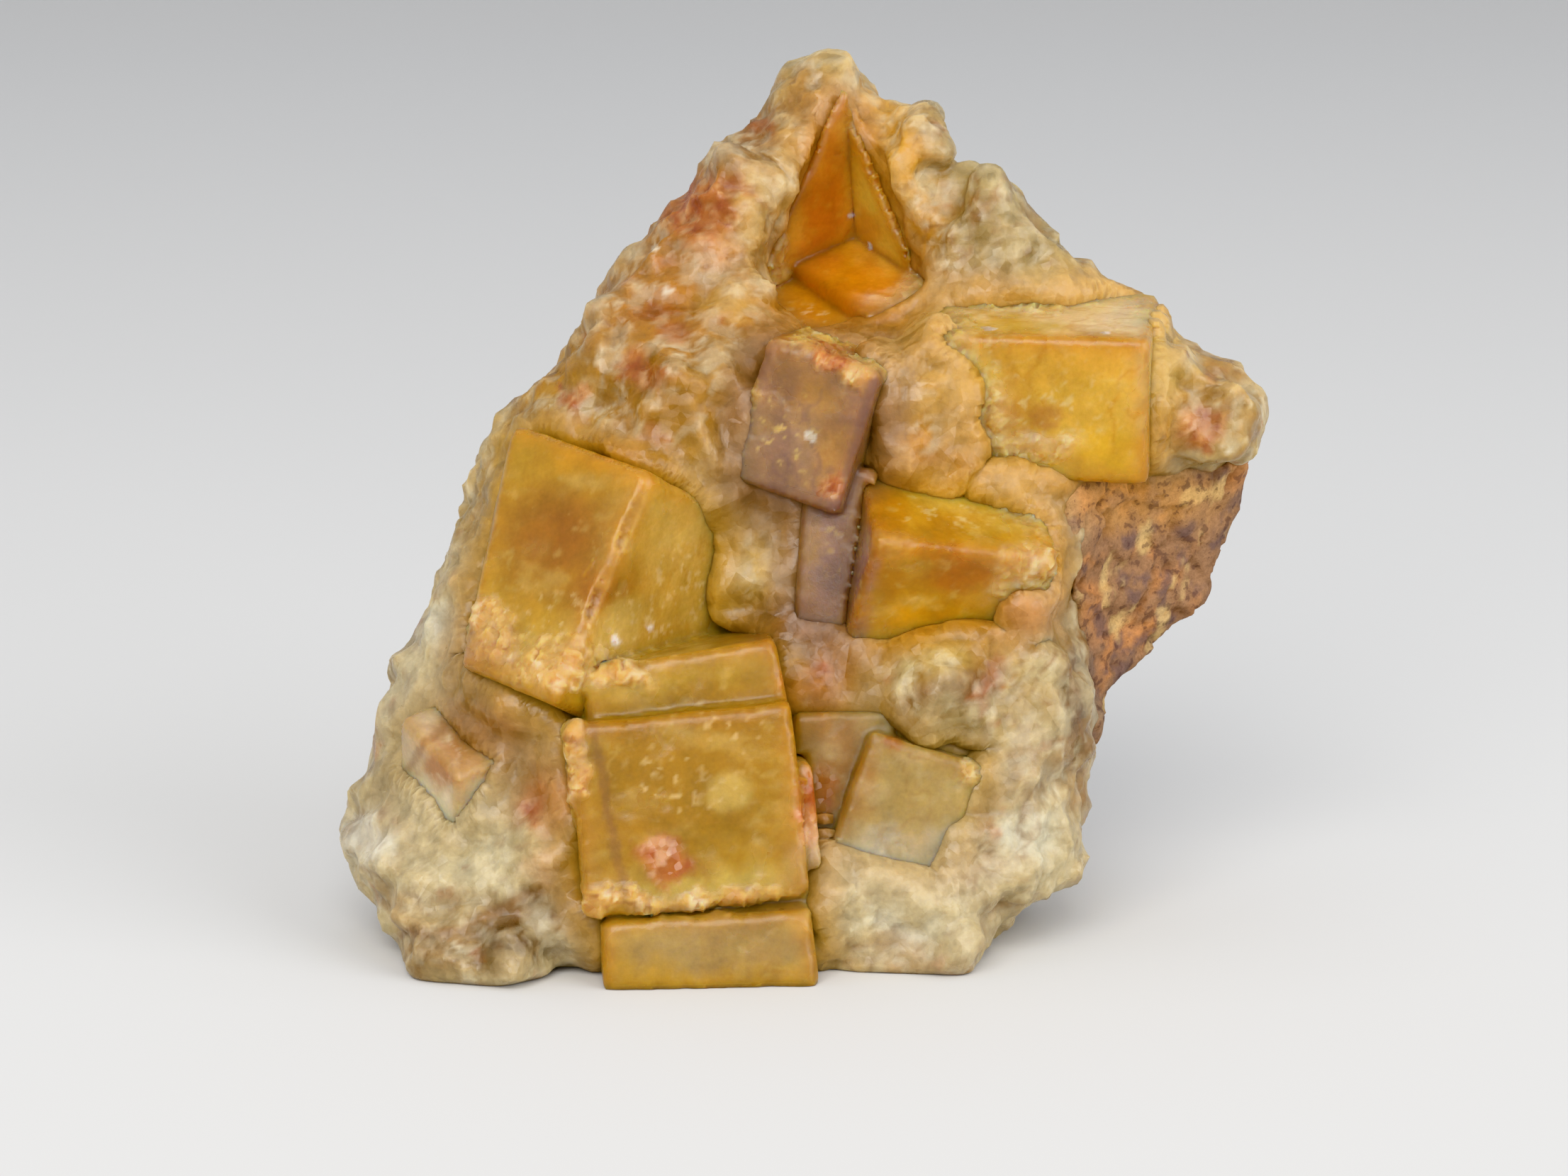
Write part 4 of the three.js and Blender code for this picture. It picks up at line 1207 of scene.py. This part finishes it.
def crystal_finish(name, clear, inside, density, gloss=0.2, rough=0.5):
    """Clear is the share of light that passes, inside and density say what it loses there,
    and the roughness runs from gloss on clean faces to rough under frost."""
    finish = Finish(name)
    tint = finish.field("tint", "Color")
    frost = finish.field("frost")
    glint = finish.field("glint")
    clouds = finish.noise(2.6 * MM, 5)
    grain = finish.noise(0.35 * MM, 3)
    light = finish.ranged(clouds, 0.3, 0.7, 0.82, 1.16)
    light = finish.math("MULTIPLY", light, finish.ranged(grain, 0.3, 0.7, 0.93, 1.07))
    shaded = finish.mix(1.0, tint, light, "MULTIPLY")
    roughness = finish.ranged(frost, 0, 1, gloss, rough)
    flats = finish.bump(finish.facets(0.55 * MM), 0.9, 1.0)
    plain = finish.bump(finish.noise(0.9 * MM, 6, 0.7), 0.35, 0.12 * MM)
    normal = finish.add("ShaderNodeMix", {"Factor": glint, 4: plain, 5: flats}, data_type="VECTOR")
    finish.set(Base_Color=shaded, Roughness=roughness, Normal=normal.outputs[1])
    finish.set(IOR=FLUORITE_IOR, Transmission_Weight=clear, Subsurface_Weight=1.0)
    finish.set(Subsurface_Radius=(1.0, 0.55, 0.16), Subsurface_Scale=SCATTER_DEPTH)
    finish.absorb(inside, density)
    return finish.material


honey_finish = crystal_finish("honey fluorite", 0.12, (0.98, 0.88, 0.3), 150)
amber_finish = crystal_finish("amber fluorite", 0.36, (0.98, 0.8, 0.2), 50, gloss=0.16)
orange_finish = crystal_finish("orange fluorite", 0.36, (0.98, 0.84, 0.2), 90)
frosted_finish = crystal_finish("frosted fluorite", 0.3, (0.96, 0.9, 0.6), 60, gloss=0.3, rough=0.6)
violet_finish = crystal_finish("violet fluorite", 0.3, (0.86, 0.76, 0.72), 120, gloss=0.25)
milky_finish = crystal_finish("milky fluorite", 0.15, (0.96, 0.9, 0.66), 50, gloss=0.28)
print("six crystal finishes")


# %% [markdown]
# ## Stone finishes
# The matrix keeps a waxy look: light sinks in a little, and small tilted flats flash. The
# host rock is dull and dusty, with dark grains of its own.

# %% The matrix and the host rock
def matrix_finish():
    finish = Finish("pale massive fluorite")
    tint = finish.field("tint", "Color")
    grain = finish.noise(0.5 * MM, 5, 0.7)
    mottle = finish.noise(1.8 * MM, 5)
    light = finish.ranged(mottle, 0.3, 0.7, 0.8, 1.15)
    light = finish.math("MULTIPLY", light, finish.ranged(grain, 0.3, 0.7, 0.9, 1.1))
    shaded = finish.mix(1.0, tint, light, "MULTIPLY")
    roughness = finish.ranged(finish.noise(2.4 * MM, 2), 0.35, 0.65, 0.26, 0.48)
    broad_flats = finish.bump(finish.facets(2.2 * MM), 0.5, 0.8)
    flats = finish.bump(finish.facets(0.8 * MM), 0.4, 0.8, broad_flats)
    normal = finish.bump(grain, 0.3, 0.1 * MM, flats)
    finish.set(Base_Color=shaded, Roughness=roughness, Normal=normal, IOR=FLUORITE_IOR)
    finish.set(Subsurface_Weight=0.7, Subsurface_Radius=(1.0, 0.82, 0.55), Subsurface_Scale=2 * MM)
    return finish.material


def host_finish():
    finish = Finish("iron-stained host rock")
    tint = finish.field("tint", "Color")
    grain = finish.noise(0.4 * MM, 6, 0.75)
    dots = finish.ranged(finish.noise(0.8 * MM, 3), 0.56, 0.64, 0, 0.6)
    light = finish.ranged(grain, 0.3, 0.7, 0.7, 1.25)
    shaded = finish.mix(dots, finish.mix(1.0, tint, light, "MULTIPLY"), (*colour(70, 46, 44), 1))
    normal = finish.bump(grain, 0.7, 0.3 * MM)
    finish.set(Base_Color=shaded, Roughness=0.82, Normal=normal, Specular_IOR_Level=0.35)
    return finish.material


dressing = [
    (crystals["honey-crystals"][0], honey_finish, "honey_fluorite"),
    (crystals["summit-crystals"][0], amber_finish, "amber_fluorite"),
    (crystals["orange-crystals"][0], orange_finish, "orange_fluorite"),
    (crystals["frosted-crystals"][0], frosted_finish, "frosted_fluorite"),
    (crystals["violet-crystals"][0], violet_finish, "violet_fluorite"),
    (crystals["milky-crystal"][0], milky_finish, "milky_fluorite"),
    (matrix, matrix_finish(), "pale_fluorite"),
    (host, host_finish(), "host_rock"),
]
for piece, finish, slot_name in dressing:
    piece.data.materials.clear()
    piece.data.materials.append(finish)
    piece.data.polygons.foreach_set("use_smooth", np.ones(len(piece.data.polygons), bool))
    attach(piece, "root")
    print(piece.name, "wears", finish.name)


# %% [markdown]
# ## The studio
# A pale floor that curves up behind, a large soft light from the upper left and a second
# from the right. The camera looks squarely at the broad face, as the photograph does.

# %% Floor, lights and camera
def sweep_floor(width=2.4, front=1.2, back=1.1, bend=0.5, rise=1.2):
    """A floor that turns up into a wall: a straight line, a quarter circle and a straight
    line as the profile, carried along x."""
    turn = np.linspace(0, math.pi / 2, 24)
    across = np.concatenate([[-front], back + bend * np.sin(turn), [back + bend]])
    up = np.concatenate([[0], bend * (1 - np.cos(turn)), [bend + rise]])
    side = np.array([-width / 2, width / 2])
    grid = np.stack(np.broadcast_arrays(side[None, :], across[:, None], up[:, None]), -1).reshape(-1, 3)
    first = np.arange(0, len(grid) - 2, 2)
    faces = np.stack([first, first + 1, first + 3, first + 2], 1)
    mesh = bpy.data.meshes.new("floor")
    mesh.from_pydata(grid, [], faces)
    mesh.polygons.foreach_set("use_smooth", np.ones(len(faces), bool))
    floor = bpy.data.objects.new("floor", mesh)
    bpy.context.scene.collection.objects.link(floor)
    return floor


floor = sweep_floor()
paper = Finish("pale paper")
paper.set(Base_Color=(0.6, 0.595, 0.58, 1), Roughness=0.9)
floor.data.materials.append(paper.material)


def soft_light(name, place, target, size, power, hue=(1, 1, 1)):
    """A square lamp at a place, turned so that it looks at the target."""
    lamp = bpy.data.lights.new(name, "AREA")
    lamp.size = size
    lamp.energy = power
    lamp.color = hue
    light = bpy.data.objects.new(name, lamp)
    bpy.context.scene.collection.objects.link(light)
    light.location = place
    light.rotation_euler = (Vector(target) - Vector(place)).to_track_quat("-Z", "Y").to_euler()
    return light


MIDDLE = (0, 0, 0.034)
soft_light("key light", (-0.14, -0.66, 0.46), MIDDLE, size=0.6, power=6.4, hue=(1, 0.98, 0.95))
soft_light("fill light", (0.6, -0.42, 0.3), MIDDLE, size=0.6, power=3.8, hue=(0.97, 0.98, 1))

sky = bpy.data.worlds.new("studio air")
sky.use_nodes = True
sky.node_tree.nodes["Background"].inputs["Color"].default_value = (0.93, 0.95, 1, 1)
sky.node_tree.nodes["Background"].inputs["Strength"].default_value = 0.9
bpy.context.scene.world = sky

lens = bpy.data.cameras.new("photograph")
lens.lens = 100
lens.sensor_width = 36
lens.clip_start = 0.01
camera = bpy.data.objects.new("photograph", lens)
bpy.context.scene.collection.objects.link(camera)
camera.location = FACE_ORIGIN - VIEW_DISTANCE * FACE_AWAY
camera.rotation_euler = (math.pi / 2 - LEAN, 0, 0)
bpy.context.scene.camera = camera
bpy.context.scene.view_settings.view_transform = "Khronos PBR Neutral"
print("camera at", np.round(FACE_ORIGIN - VIEW_DISTANCE * FACE_AWAY, 4))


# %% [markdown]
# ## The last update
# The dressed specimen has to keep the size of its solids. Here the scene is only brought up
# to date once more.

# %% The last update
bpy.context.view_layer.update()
